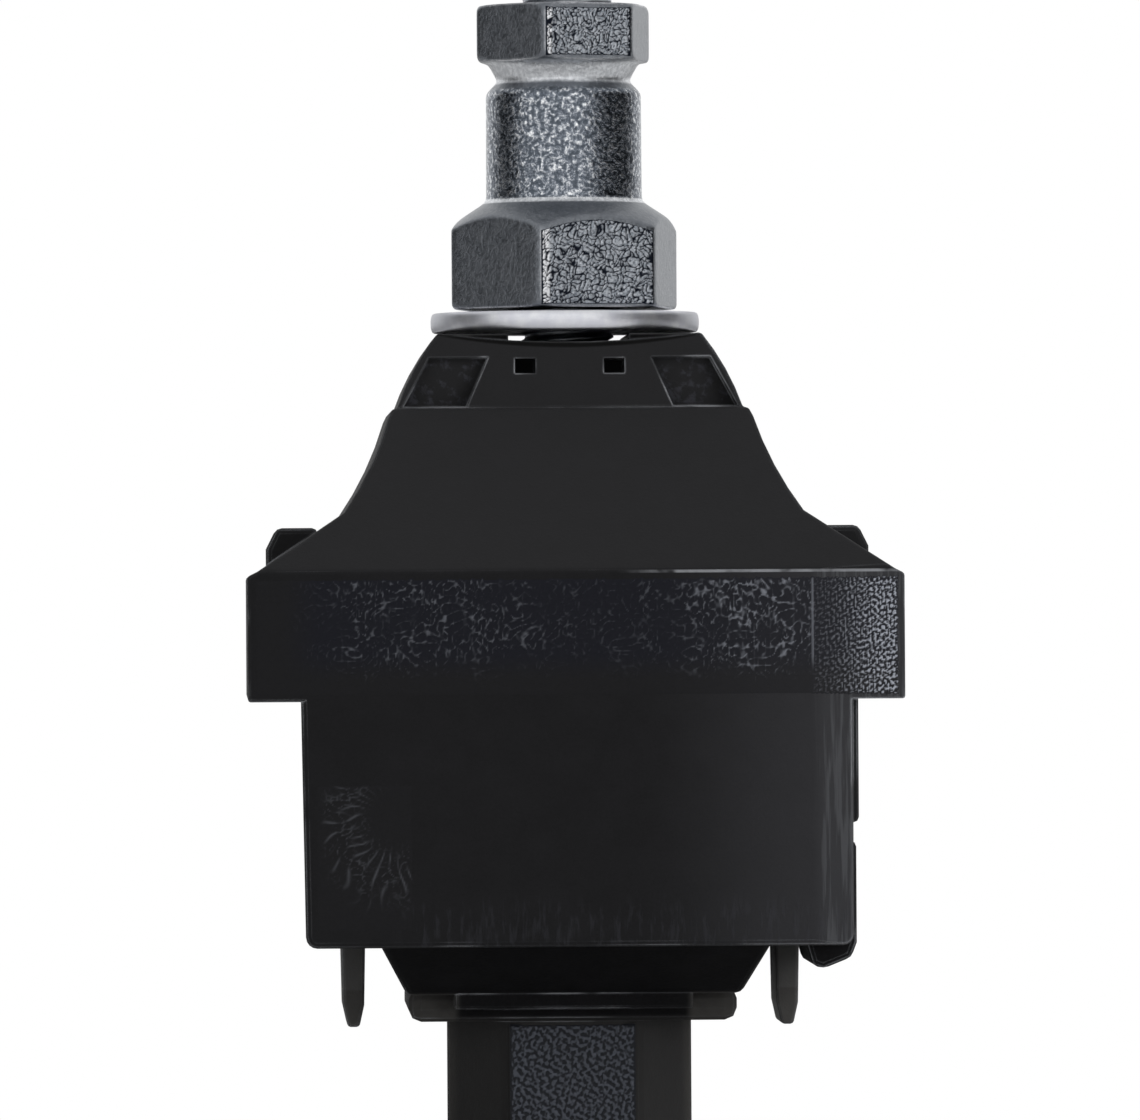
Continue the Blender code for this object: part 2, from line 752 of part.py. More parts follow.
def seal_boots(finish, lower, upper):
    """Rubber boots with a groove for the cable and a slot for the teeth."""
    groove_centre = (0, CHANNEL_RISE - CHANNEL_R)
    reach = BOOT_HALF_X + CUT_OVER
    groove = finished("boot groove", rod(BOOT_GROOVE_R, -reach, reach, "X", groove_centre))
    slot_x = BLADE_THICKNESS / 2 + SEAT_GAP
    slot_y = TONGUE_HALF_Y + SEAT_GAP
    slot = finished(
        "boot slot",
        block((-slot_x, -slot_y, -CUT_OVER), (slot_x, slot_y, BOOT_TOP + CUT_OVER)),
    )
    for up, level, parent in ((1, "upper", upper), (-1, "lower", lower)):
        for side, way in ((-1, "tap"), (1, "main")):
            for end, word in ((-1, "left"), (1, "right")):
                boot = finished(
                    f"{level}_{way}_seal_{word}",
                    block(
                        (-BOOT_HALF_X, -BOOT_HALF_Y, BOOT_LIP),
                        (BOOT_HALF_X, BOOT_HALF_Y, BOOT_TOP),
                    ),
                    finish,
                    parent,
                )
                place = (end * BLADE_X * MM, side * CHANNEL_Y * MM, JAW_MIDDLE * MM)
                boot.location = place
                boot.rotation_euler.x = 0 if up > 0 else math.pi
                ease_edges(boot, BOOT_EDGE_R)
                for cutter in (groove, slot):
                    tool = cutter.copy()
                    bpy.context.scene.collection.objects.link(tool)
                    tool.location = place
                    tool.rotation_euler = boot.rotation_euler
                    combine(boot, tool, "DIFFERENCE")
                smooth(boot)


def hex_head(name, flats, turn, low, high, low_cone, high_cone, high_slope=HEX_CONE_SLOPE):
    """Hexagon whose corners a cone of the given height trims at each end; still to be trimmed."""
    corner = flats / math.sqrt(3) + SEAT_GAP / 2
    envelope = turned(
        [
            (0, low),
            (corner - low_cone * HEX_CONE_SLOPE, low),
            (corner, low + low_cone),
            (corner, high - high_cone),
            (corner - high_cone * high_slope, high),
            (0, high),
        ]
    )
    prism = extruded(hexagon(flats, turn), low - CUT_OVER, high + CUT_OVER, "Z")
    return prism, (f"{name} cones", envelope)


def clamp_bolt(finish, parent):
    head, cones = hex_head(
        "bolt head", BOLT_HEAD_FLATS, 0, HEAD_RECESS, HEAD_TOP, BOLT_HEAD_CONE, BOLT_HEAD_SEAT_CONE
    )
    bolt = finished("clamp_bolt", head, finish, parent)
    keep_inside(bolt, *cones)
    radius = BOLT_D / 2
    shank = [(0, HEAD_TOP - CUT_OVER), (radius, HEAD_TOP - CUT_OVER)]
    shank += [(radius, BOLT_END - BOLT_CHAMFER), (radius - BOLT_CHAMFER, BOLT_END), (0, BOLT_END)]
    add(bolt, "shank", turned(shank))
    smooth(bolt)
    return bolt


def pressure_washer(finish, parent):
    inner = BORE_R
    outer = WASHER_D / 2
    top = WASHER_LOW + WASHER_THICKNESS
    edge = WASHER_EDGE_R
    profile = [(inner, top), (inner, WASHER_LOW), (outer - edge, WASHER_LOW)]
    profile += [(outer, WASHER_LOW + edge), (outer, top - edge), (outer - edge, top)]
    washer = finished("pressure_washer", turned(profile, CHANNEL_ROUND), finish, parent)
    smooth(washer, 50)
    return washer


def shear_nut(finish, parent):
    """Hexagon that stays, its sleeve, the neck that shears and the head that comes off."""
    low_hex, cones = hex_head(
        "nut", NUT_FLATS, NUT_TURN, NUT_LOW, SLEEVE_LOW, NUT_SEAT_CONE, NUT_CONE, NUT_CONE_SLOPE
    )
    nut = finished("shear_nut", low_hex, finish, parent)
    keep_inside(nut, *cones)
    sleeve = [
        (0, SLEEVE_LOW - CUT_OVER),
        (SLEEVE_R, SLEEVE_LOW - CUT_OVER),
        (SLEEVE_R, NECK_LOW - SLEEVE_SHOULDER),
        (NECK_R, NECK_LOW),
        (NECK_R + NECK_FLARE, SHEAR_LOW),
        (NECK_R + NECK_FLARE, SHEAR_LOW + CUT_OVER),
        (0, SHEAR_LOW + CUT_OVER),
    ]
    add(nut, "sleeve and neck", turned(sleeve))
    shear_hex, cones = hex_head(
        "shear head", SHEAR_FLATS, NUT_TURN, SHEAR_LOW, SHEAR_TOP, SHEAR_CONE, SHEAR_CONE
    )
    head = add(nut, "shear head", shear_hex)
    keep_inside(head, *cones)
    bore = rod(BOLT_D / 2 + SEAT_GAP, NUT_LOW - CUT_OVER, SHEAR_TOP + CUT_OVER, "Z", segments=ROUND)
    cut(nut, "nut bore", bore)
    smooth(nut)
    return nut


def empty(name, parent=None):
    made = bpy.data.objects.new(name, None)
    bpy.context.scene.collection.objects.link(made)
    made.parent = parent
    return made


for old in list(bpy.data.objects):
    bpy.data.objects.remove(old, do_unlink=True)

nylon = material("black glass-filled nylon", (0.012, 0.012, 0.014), 0.0, 0.5)
rubber = material("black elastomer", (0.02, 0.02, 0.02), 0.0, 0.8)
zinc = material("zinc-plated steel", (0.42, 0.45, 0.5), 1.0, 0.42)
bright_steel = material("bright washer steel", (0.62, 0.62, 0.66), 1.0, 0.3)
tinned_copper = material("tinned copper", (0.7, 0.68, 0.64), 1.0, 0.35)

lower_body = empty("lower body")
upper_body = empty("upper body")
nut_body = empty("nut body", upper_body)

lower_jaw(nylon, lower_body)
clamp_bolt(zinc, lower_body)
upper_jaw(nylon, upper_body)
pressure_washer(bright_steel, upper_body)
contact_blades(tinned_copper, lower_body, upper_body)
seal_boots(rubber, lower_body, upper_body)
shear_nut(zinc, nut_body)
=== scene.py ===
"""Surfaces, finishes and studio of an insulation piercing connector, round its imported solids.

Lengths are in millimetres until MM turns them into metres.
"""

import json
import math

import bmesh
import bpy
import numpy as np
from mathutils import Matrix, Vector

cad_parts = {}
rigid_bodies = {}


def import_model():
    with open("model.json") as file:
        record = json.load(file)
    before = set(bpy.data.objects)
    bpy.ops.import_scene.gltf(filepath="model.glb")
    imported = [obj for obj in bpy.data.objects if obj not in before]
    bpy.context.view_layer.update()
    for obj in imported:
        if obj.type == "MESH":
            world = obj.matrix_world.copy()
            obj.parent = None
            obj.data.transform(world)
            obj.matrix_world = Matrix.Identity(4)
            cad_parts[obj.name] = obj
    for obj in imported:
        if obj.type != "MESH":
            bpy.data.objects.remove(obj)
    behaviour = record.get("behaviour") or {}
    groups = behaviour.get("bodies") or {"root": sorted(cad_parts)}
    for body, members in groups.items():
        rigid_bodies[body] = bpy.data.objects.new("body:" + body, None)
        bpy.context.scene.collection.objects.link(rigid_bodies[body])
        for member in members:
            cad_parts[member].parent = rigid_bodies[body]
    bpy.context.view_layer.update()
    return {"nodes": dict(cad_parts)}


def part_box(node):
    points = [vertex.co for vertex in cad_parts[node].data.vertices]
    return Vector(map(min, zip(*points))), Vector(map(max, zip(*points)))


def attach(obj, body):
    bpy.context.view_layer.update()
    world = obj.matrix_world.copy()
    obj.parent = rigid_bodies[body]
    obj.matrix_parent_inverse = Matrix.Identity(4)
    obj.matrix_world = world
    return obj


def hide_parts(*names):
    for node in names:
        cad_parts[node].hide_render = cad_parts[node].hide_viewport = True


for old in list(bpy.data.objects):
    bpy.data.objects.remove(old, do_unlink=True)
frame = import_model()
nodes = frame["nodes"]
MM = 0.001


# Moulded jaws. Both are injection moulded in black glass-filled nylon, matt and grainy on the roof,
# the crown, the skirt and the underside. The mould's eased edges catch the light; their grey is
# partly wear from handling and partly painted highlight.
class Wire:
    """A node socket that takes part in Python expressions; every operation adds a Math node."""

    def __init__(self, tree, socket):
        self.tree = tree
        self.socket = socket

    def node(self, kind, settings, inputs, output=0):
        """Adds a node with its settings made first, then its inputs, and gives one output."""
        made = self.tree.nodes.new(kind)
        for key, value in settings.items():
            setattr(made, key, value)
        for key, value in inputs.items():
            if isinstance(value, Wire):
                self.tree.links.new(made.inputs[key], value.socket)
            elif value is not None:
                made.inputs[key].default_value = value
        return Wire(self.tree, made.outputs[output])

    def math(self, operation, *others):
        inputs = dict(enumerate((self, *others)))
        return self.node("ShaderNodeMath", {"operation": operation}, inputs)

    def __add__(self, other):
        return self.math("ADD", other)

    __radd__ = __add__

    def __mul__(self, other):
        return self.math("MULTIPLY", other)

    __rmul__ = __mul__

    def __sub__(self, other):
        return self.math("SUBTRACT", other)

    def __rsub__(self, other):
        return self.math("MULTIPLY_ADD", -1.0, other)

    def __truediv__(self, other):
        return self.math("DIVIDE", other)

    def __abs__(self):
        return self.math("ABSOLUTE")

    def step(self, low, high):
        """0 below low and 1 above high, with an eased slope between; low may be the greater."""
        ends = {
            "Value": self,
            "From Min": min(low, high),
            "From Max": max(low, high),
            "To Min": float(low > high),
            "To Max": float(low < high),
        }
        return self.node("ShaderNodeMapRange", {"interpolation_type": "SMOOTHSTEP"}, ends)

    def axis(self, letter):
        """One coordinate of a vector."""
        return self.node("ShaderNodeSeparateXYZ", {}, {"Vector": self}, letter)

    def axes(self):
        """All three coordinates of a vector."""
        return (self.axis(letter) for letter in "XYZ")

    def noise(self, scale, detail=3.0, roughness=0.55, distortion=0.0):
        """Noise from 0 to 1 whose features are about 1/scale metres wide."""
        inputs = {
            "Vector": self,
            "Scale": scale,
            "Detail": detail,
            "Roughness": roughness,
            "Distortion": distortion,
        }
        return self.node("ShaderNodeTexNoise", {}, inputs, "Fac")

    def warp(self, scale, reach):
        """The vector pushed about by up to half of reach metres, which bends a pattern."""
        colour = self.node("ShaderNodeTexNoise", {}, {"Vector": self, "Scale": scale}, "Color")
        push = {0: colour, 1: (reach, reach, reach), 2: self}
        return self.node("ShaderNodeVectorMath", {"operation": "MULTIPLY_ADD"}, push, "Vector")

    def stretch(self, x, y, z):
        """The vector scaled along each axis; a small factor draws a pattern out."""
        return self.node("ShaderNodeMapping", {}, {"Vector": self, "Scale": (x, y, z)})


class Finish:
    """A material with a Principled shader that reads Object coordinates in metres."""

    def __init__(self, name):
        self.made = bpy.data.materials.new(name)
        self.made.use_nodes = True
        self.tree = self.made.node_tree
        self.shader = self.tree.nodes["Principled BSDF"]
        coordinates = self.tree.nodes.new("ShaderNodeTexCoord")
        self.place = Wire(self.tree, coordinates.outputs["Object"])

    def mix(self, factor, first, second):
        """Colour that goes from first to second."""
        inputs = {0: factor}
        for key, value in ((6, first), (7, second)):
            inputs[key] = value if isinstance(value, Wire) else (*value, 1.0)
        return self.place.node("ShaderNodeMix", {"data_type": "RGBA"}, inputs, 2)

    def bump(self, height, depth, under=None):
        """Normal for a height from 0 to 1 that stands depth metres high."""
        inputs = {"Height": height, "Distance": depth, "Strength": 1.0, "Normal": under}
        return self.place.node("ShaderNodeBump", {}, inputs, "Normal")

    def set(self, **sockets):
        """Links or sets the shader's sockets, named with _ for a space, and gives the material."""
        for key, value in sockets.items():
            socket = self.shader.inputs[key.replace("_", " ")]
            if isinstance(value, Wire):
                self.tree.links.new(socket, value.socket)
            else:
                socket.default_value = value
        return self.made


def edges_of(finish, radius):
    """1 on worn edges and 0 on flats, from how far a rounded normal turns from the true one."""
    rounded = finish.place.node("ShaderNodeBevel", {"samples": 6}, {"Radius": radius}, "Normal")
    true = finish.place.node("ShaderNodeNewGeometry", {}, {}, "Normal")
    along = finish.place.node(
        "ShaderNodeVectorMath", {"operation": "DOT_PRODUCT"}, {0: rounded, 1: true}, "Value"
    )
    return along.step(0.995, 0.86), rounded


jaw_low, jaw_high = (np.array(corner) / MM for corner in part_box("upper_jaw"))
FRONT_Y = jaw_low[1]
TURNED_X = 18.8
TURNED_SLOPE = 0.45 / (jaw_high[0] + 1.0 - TURNED_X)
POST_TOP = 14.2
COLLAR_TOP = 16.2
SKIRT_LOW = 20.0
SKIRT_BAND_TOP = 22.5
FINGER_TOP = 31.0
FINGER_HALF_Y = 4.5
SHOULDER_LOW = 40.0
EAVE = 50.4
CROWN_LOW = 63.5
POCKET_X = 6.6
POCKET_Y = 10.4
SADDLE_LOW = 68.45
SADDLE_HALF_X = 10.4
SADDLE_RISE = 0.95
NYLON_GLOSS = 0.13
LOWER_GLOSS = 0.05
# Nylon colours. BLACK and SCUFF_GREY are the nylon and its scuffs; the other blacks and greys are
# painted light and shade on it, and the streak and edge greys are partly real streaks and wear too.
BLACK = (0.003, 0.003, 0.0033)
SKIRT_SHADE_BLACK = (0.0006, 0.0006, 0.0006)
ROOF_LIT_BLACK = (0.011, 0.011, 0.0115)
LIT_BLACK = (0.030, 0.030, 0.033)
FINGER_LIT_GREY = (0.070, 0.069, 0.067)
POST_LIT_GREY = (0.026, 0.0255, 0.025)
COLLAR_LIT_GREY = (0.050, 0.048, 0.045)
STREAK_AND_LIT_GREY = (0.075, 0.077, 0.083)
SCUFF_GREY = (0.045, 0.046, 0.055)
RUBBED_AND_HIGHLIT_GREY = (0.30, 0.31, 0.33)


def moulded(name, gloss, inner_drop, lowest, *zones):
    """Matt nylon: grain, faint flow marks, streaks on the skirt's turned edge and grey edges.

    Its colour starts as lowest at the bottom and changes at each zone's level to the zone's
    colour. The zones are painted light and shade on the one black nylon: lighter where light falls,
    darker where the skirt shades. The levels lie inner_drop higher between the channels, where the
    guide fingers hang.
    """
    finish = Finish(name)
    place = finish.place
    wear, rounded = edges_of(finish, 0.3 * MM)
    x, y, z = place.axes()
    grain = place.noise(4200, detail=2.0)
    mottle = place.noise(380, detail=4.0)

    # Where the front face is, where it turns back, where painted light brightens it towards the
    # right, and what marks it bears.
    front = y.step((FRONT_Y + 0.6) * MM, (FRONT_Y + 0.3) * MM)
    front = front * z.step(EAVE * MM, (EAVE - 0.3) * MM)
    turned = front * x.step((TURNED_X - 0.2) * MM, (TURNED_X + 1.2) * MM)
    lit = front * x.step(4.0 * MM, 20.0 * MM)
    streaks = place.stretch(1.0, 1.0, 0.06).noise(2600, detail=2.0)
    streaked = turned * streaks.step(0.45, 0.65)
    low_band = front * z.step((SKIRT_BAND_TOP + 2.5) * MM, SKIRT_BAND_TOP * MM)
    low_band = low_band * x.step(-16.0 * MM, -12.0 * MM)
    strokes = place.stretch(1.0, 1.0, 0.18).noise(2800, detail=3.0)
    strokes = strokes.step(0.48, 0.70) * low_band

    # Scuffs in the floors of the crown's pockets.
    recess = abs(x).step(POCKET_X * MM, (POCKET_X + 0.3) * MM)
    recess = recess * abs(abs(y) - POCKET_Y * MM).step(0.3 * MM, 0.2 * MM)
    recess = recess * z.step((CROWN_LOW + 0.2) * MM, (CROWN_LOW + 0.5) * MM)
    scuffs = place.warp(500, 1.2 * MM).noise(1100, detail=4.0, roughness=0.65)
    scuffs = recess * scuffs.step(0.48, 0.66)

    normal = finish.bump(grain, 0.02 * MM, rounded)
    normal = finish.bump(mottle, 0.08 * MM, normal)
    normal = finish.bump(streaked + strokes + scuffs, 0.03 * MM, normal)

    colour = lowest
    inner = abs(y).step((FINGER_HALF_Y + 0.3) * MM, (FINGER_HALF_Y + 0.1) * MM)
    shelf = z - inner * z.step(FINGER_TOP * MM, (FINGER_TOP - 1.0) * MM) * (inner_drop * MM)
    for level, shade in zones:
        zone = shelf.step((level - 0.3) * MM, (level + 0.3) * MM)
        colour = finish.mix(zone, colour, shade)
    # Painted light: the collar's ends lighter than its shaded middle.
    lit_collar_ends = abs(x).step(9.0 * MM, 9.8 * MM)
    lit_collar_ends = lit_collar_ends * z.step((COLLAR_TOP + 0.2) * MM, COLLAR_TOP * MM)
    colour = finish.mix(lit_collar_ends * (0.4 + mottle), colour, COLLAR_LIT_GREY)
    # Painted light: the front face lighter towards the right, where the lamp falls, with random
    # grain.
    colour = finish.mix(lit * 0.6 + mottle * 0.2 + grain * 0.15, colour, LIT_BLACK)
    # Streaks on the turned band, and painted light on the whole band, which faces the lamp.
    colour = finish.mix(streaked * 0.5 + turned * 0.15, colour, STREAK_AND_LIT_GREY)
    colour = finish.mix(strokes * 0.2 + scuffs * 0.6, colour, SCUFF_GREY)

    # The deck behind the saddle's lip gets no light: black above the lip's arc,
    # z = SADDLE_LOW + SADDLE_RISE * (x / SADDLE_HALF_X)^2.
    lip = z - x * x * (SADDLE_RISE / SADDLE_HALF_X**2 / MM)
    shade = lip.step((SADDLE_LOW - 0.1) * MM, (SADDLE_LOW + 0.1) * MM)
    colour = finish.mix(shade, colour, (0, 0, 0))

    # Edges grey, partly wear and partly painted highlight; a painted highlight on the eave's front.
    # Painted highlight along the eave's front edge.
    eave_highlight = y.step((FRONT_Y + 1.0) * MM, (FRONT_Y + 0.6) * MM) * x.step(3.0 * MM, 9.0 * MM)
    eave_highlight = eave_highlight * z.step((EAVE - 0.30) * MM, (EAVE - 0.22) * MM)
    eave_highlight = eave_highlight * z.step(EAVE * MM, (EAVE - 0.08) * MM)
    rubbed_and_highlit = wear * (0.15 + 0.85 * place.noise(120, detail=3.0).step(0.46, 0.60))
    rubbed_and_highlit = rubbed_and_highlit + eave_highlight * place.noise(600, detail=2.0).step(0.25, 0.6) * 0.7
    colour = finish.mix(rubbed_and_highlit, colour, RUBBED_AND_HIGHLIT_GREY)

    rough = 0.55 + mottle * 0.10 + grain * 0.05 - turned * 0.1
    finish.set(Specular_IOR_Level=gloss)
    return finish.set(Base_Color=colour, Roughness=rough, Normal=normal)


# Painted light: the fingers lighter below the skirt, and the roof lighter above the eave.
upper_nylon = moulded(
    "black nylon, upper jaw",
    NYLON_GLOSS,
    FINGER_TOP - SKIRT_LOW,
    FINGER_LIT_GREY,
    (SKIRT_LOW, BLACK),
    (EAVE, ROOF_LIT_BLACK),
)
# Painted light on the post below POST_TOP, painted shade above it under the skirt.
lower_nylon = moulded(
    "black nylon, lower jaw", LOWER_GLOSS, 0.0, POST_LIT_GREY, (POST_TOP, SKIRT_SHADE_BLACK)
)
for name, nylon in (("lower_jaw", lower_nylon), ("upper_jaw", upper_nylon)):
    nodes[name].data.materials.clear()
    nodes[name].data.materials.append(nylon)


# Shoulder skin. The mould was left rough along the shoulders' front, so the nylon there has a
# leathery relief of worm-like ridges up to 0.16 mm high, finer at the right-hand end. It is the
# jaw's own surface, laid on the plain face and sunk into it round its rim.
def object_of(name, points, quads, finish, body, stands_for=(), sharp=35):
    """A piece of a closed mesh in millimetres, with doubles merged and faces outwards."""
    shell = bmesh.new()
    mesh = bpy.data.meshes.new(name)
    mesh.from_pydata(points.reshape(-1, 3) * MM, [], quads.reshape(-1, 4))
    shell.from_mesh(mesh)
    bmesh.ops.remove_doubles(shell, verts=shell.verts, dist=0.0005 * MM)
    bmesh.ops.dissolve_degenerate(shell, edges=shell.edges, dist=0.0005 * MM)
    bmesh.ops.recalc_face_normals(shell, faces=shell.faces)
    if shell.calc_volume(signed=True) < 0:
        bmesh.ops.reverse_faces(shell, faces=shell.faces)
    shell.to_mesh(mesh)
    shell.free()
    mesh.shade_smooth()
    mesh.set_sharp_from_angle(angle=math.radians(sharp))
    mesh.materials.append(finish)
    made = bpy.data.objects.new(name, mesh)
    bpy.context.scene.collection.objects.link(made)
    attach(made, body)
    if stands_for:
        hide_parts(*stands_for)
    return made


def quads_of(rows, columns, looped=False):
    """Corner numbers of a grid's quads; its columns close into rings, and looped rows do too."""
    along = np.arange(rows if looped else rows - 1)[:, None]
    across = np.arange(columns)[None, :]
    after, beside = (along + 1) % rows, (across + 1) % columns
    corners = (along * columns + across, along * columns + beside)
    corners += (after * columns + beside, after * columns + across)
    return np.stack(np.broadcast_arrays(*corners), axis=-1)


def slab(face, back):
    """Closed grid round two sheets of points: a row runs out on the face and home on the back.

    An added first and last row lie midway between the sheets, so the ends close when merged.
    """
    ring = np.concatenate([face, back[:, ::-1]], axis=1)
    middle = (face + back) / 2
    ends = np.concatenate([middle, middle[:, ::-1]], axis=1)
    return np.concatenate([ends[:1], ring, ends[-1:]], axis=0)


def waves(x, z, length, spread, count, seed):
    """Sum of plane waves that run in every direction: sum of cos(k.p + phase), of unit strength."""
    draw = np.random.default_rng(seed)
    turn = draw.uniform(0, math.tau, count)
    number = math.tau / (length * draw.uniform(1 - spread, 1 + spread, count))
    phase = draw.uniform(0, math.tau, count)
    total = np.zeros_like(x)
    for way, k, start in zip(turn, number, phase):
        total += np.cos(k * (x * math.cos(way) + z * math.sin(way)) + start)
    return total / math.sqrt(count / 2)


SKIN_RISE = 0.015
SKIN_BACK = 0.3


def skin(
    name,
    across,
    levels,
    relief,
    place_of,
    finish,
    body,
    step=0.12,
    depth=0.14,
    sink=0.10,
    margin=0.5,
):
    """Closed height-field piece on a flat face: sunk into the face at its rim, proud of it inside.

    out = -sink at the rim and SKIN_RISE + depth * relief(across, level) inside, with an eased
    slope of width margin between them; place_of turns (across, level, out) into a point.
    """
    spans = (np.linspace(low, high, int((high - low) / step)) for low, high in (across, levels))
    u, v = np.meshgrid(*spans)
    rim = np.minimum.reduce([u - across[0], across[1] - u, v - levels[0], levels[1] - v])
    swell = 1 - np.clip(1 - rim / margin, 0, 1) ** 2
    out = (sink + SKIN_RISE + depth * relief(u, v)) * swell - sink
    back = np.full_like(out, -sink - SKIN_BACK)
    points = slab(place_of(u, v, out), place_of(u, v, back))
    return object_of(name, points, quads_of(*points.shape[:2]), finish, body)


SHOULDER_PLACES = [-26, -22, -17, -7, 0, 7, 12, 18.8]
SHOULDER_STRENGTH = [0.0, 0.2, 0.8, 0.75, 0.4, 0.5, 1.0, 0.95]
SPECK_PLACES = [18.8, 21, 25]
SPECK_STRENGTH = [0.35, 0.6, 1]


def shoulder_relief(x, z):
    """Ridge height from 0 to 1: worms and strokes left of TURNED_X, specks to its right.

    A ridge exp(-(field / width)^2) follows the zero lines of a wave field. Slower fields and the
    strength along x fade the ridges in and out, and they die towards the band's lower edge.
    """
    bend = 0.4 * waves(x, z, 5.0, 0.3, 12, 3)
    worms = np.exp(-((waves(x + bend, z, 1.05, 0.45, 50, 5) / 0.34) ** 2))
    strokes = np.exp(-((waves(x * 1.5, z * 0.35 + bend, 1.8, 0.3, 30, 11) / 0.22) ** 2))
    specks = np.clip(waves(x, z, 0.34, 0.5, 60, 7) + 0.5, 0, 2) / 2
    patch = np.clip(0.85 + 0.35 * waves(x, z, 4.0, 0.4, 10, 9), 0.35, 1)
    right = np.clip((x - TURNED_X + 0.2) / 0.4, 0, 1)
    strength = np.interp(x, SHOULDER_PLACES, SHOULDER_STRENGTH)
    fade = np.clip((z - SHOULDER_LOW - 1.2) / 3.0, 0, 1) ** 0.8
    fade = np.maximum(fade, right * np.clip((z - SHOULDER_LOW + 0.2) / 0.8, 0, 1))
    leather = np.clip(0.9 * worms + 0.5 * strokes, 0, 1) * strength * patch
    leather = leather * np.clip(0.75 + 0.4 * waves(x, z, 0.6, 0.4, 40, 12), 0.1, 1)
    speckled = right * specks * np.interp(x, SPECK_PLACES, SPECK_STRENGTH)
    ground = fade * (leather * (1 - right) + speckled)
    line = np.exp(-(((x - TURNED_X) / 0.09) ** 2)) * np.clip((z - 42.0) / 2.0, 0.1, 0.7)
    return np.maximum(ground, line)


def front_face(x, z, out):
    """Points of the upper jaw's front face, which turns back past TURNED_X."""
    plane = FRONT_Y + np.clip(x - TURNED_X, 0, None) * TURNED_SLOPE
    return np.stack([x, plane - out, z], axis=-1)


BLUE_BLACK = (0.0012, 0.0018, 0.0050)
LIT_BLUE_BLACK = (0.030, 0.030, 0.034)
RIDGE_HIGHLIGHT_GREY = (0.36, 0.38, 0.43)


def leathery(name, depth, blue, tops):
    """Nylon with painted light to the right and painted highlights on the ridge tops, read from how
    far they stand out; blue tints the hollows.
    """
    finish = Finish(name)
    place = finish.place
    x, y, z = place.axes()
    plane = (x * (1 / MM) - TURNED_X).math("MAXIMUM", 0.0) * (TURNED_SLOPE * MM) + FRONT_Y * MM
    height = (plane - y) / (depth * MM)
    top = height.step(0.14, 0.9)
    grain = place.noise(3600, detail=3.0)
    bright = x.step(6.0 * MM, 14.0 * MM) * 0.5 + x.step(20.0 * MM, 25.0 * MM) * 2.4
    inside = x.step(-24.0 * MM, -20.0 * MM) * z.step(41.5 * MM, 44.0 * MM)
    normal = finish.bump(grain, 0.03 * MM)
    colour = finish.mix(inside * blue, BLACK, BLUE_BLACK)
    # Painted light: lighter towards the right, where the lamp falls.
    lit = x.step(4.0 * MM, 20.0 * MM) * 0.25 + 0.1
    colour = finish.mix(lit + grain * 0.15, colour, LIT_BLUE_BLACK)
    # Painted highlight on the ridge tops, stronger towards the right.
    colour = finish.mix(top * (0.55 + grain * 0.3 + bright) * 0.33, colour, tops)
    finish.set(Specular_IOR_Level=NYLON_GLOSS)
    return finish.set(Base_Color=colour, Roughness=0.50 + grain * 0.12, Normal=normal)


skin(
    "shoulder_skin",
    (jaw_low[0] + 0.35, jaw_high[0] - 0.35),
    (SHOULDER_LOW + 0.15, EAVE - 0.45),
    shoulder_relief,
    front_face,
    leathery("leathery nylon", 0.15, 1.0, RIDGE_HIGHLIGHT_GREY),
    "upper",
    step=0.10,
)


# Skirt wrinkles. Low on the skirt's left the nylon cooled unevenly, which left a fan of shallow
# curved wrinkles in the face.
WRINKLE_X = -14.2
WRINKLE_Z = 31.0
WRINKLE_LEFT = -21.0
WRINKLE_RAYS = 34
WRINKLE_HIGHLIGHT_GREY = (0.22, 0.23, 0.26)


def wrinkle_relief(x, z):
    """Rays about (WRINKLE_X, WRINKLE_Z), cos(WRINKLE_RAYS * angle + bend), mixed with worms.

    Both fade with the distance from that point.
    """
    reach = np.hypot(x - WRINKLE_X, z - WRINKLE_Z)
    angle = np.arctan2(z - WRINKLE_Z, WRINKLE_X - x)
    bend = 1.2 * waves(x, z, 3.5, 0.3, 12, 21)
    rays = np.clip(np.cos(WRINKLE_RAYS * angle + bend + 0.6 * reach), 0, 1) ** 3
    worms = np.exp(-((waves(x, z, 0.95, 0.4, 50, 23) / 0.35) ** 2))
    fade = np.clip((reach - 1.8) / 1.8, 0, 1) * np.clip((9.0 - reach) / 3.5, 0, 1)
    fade = fade * np.clip((x - WRINKLE_LEFT) / 1.2, 0, 1)
    patch = np.clip(0.6 + 0.5 * waves(x, z, 2.5, 0.3, 12, 22), 0, 1)
    return np.maximum(0.7 * rays * patch, 0.6 * worms * (1 - 0.6 * patch)) * fade


# Its ridge tops carry a painted highlight.
skin(
    "skirt_wrinkles",
    (WRINKLE_LEFT, -13.0),
    (21.5, 33.5),
    wrinkle_relief,
    front_face,
    leathery("wrinkled nylon", 0.12, 0.0, WRINKLE_HIGHLIGHT_GREY),
    "upper",
    depth=0.10,
    sink=0.05,
)


# Post face. The post's front flat is spark-eroded in the mould and comes out finely granular, while
# its other flats are plain.
POST_Y = -9.0
GRAIN_LOW = (0.008, 0.009, 0.012)
GRAIN_HIGHLIGHT = (0.075, 0.082, 0.100)


def post_relief(x, z):
    """Grain height from 0 to 1: the sum of two wave fields, 0.55 and 0.32 mm long."""
    grains = waves(x, z, 0.55, 0.35, 40, 31) + 0.7 * waves(x, z, 0.32, 0.3, 40, 32)
    return np.clip(0.5 + 0.4 * grains, 0, 1)


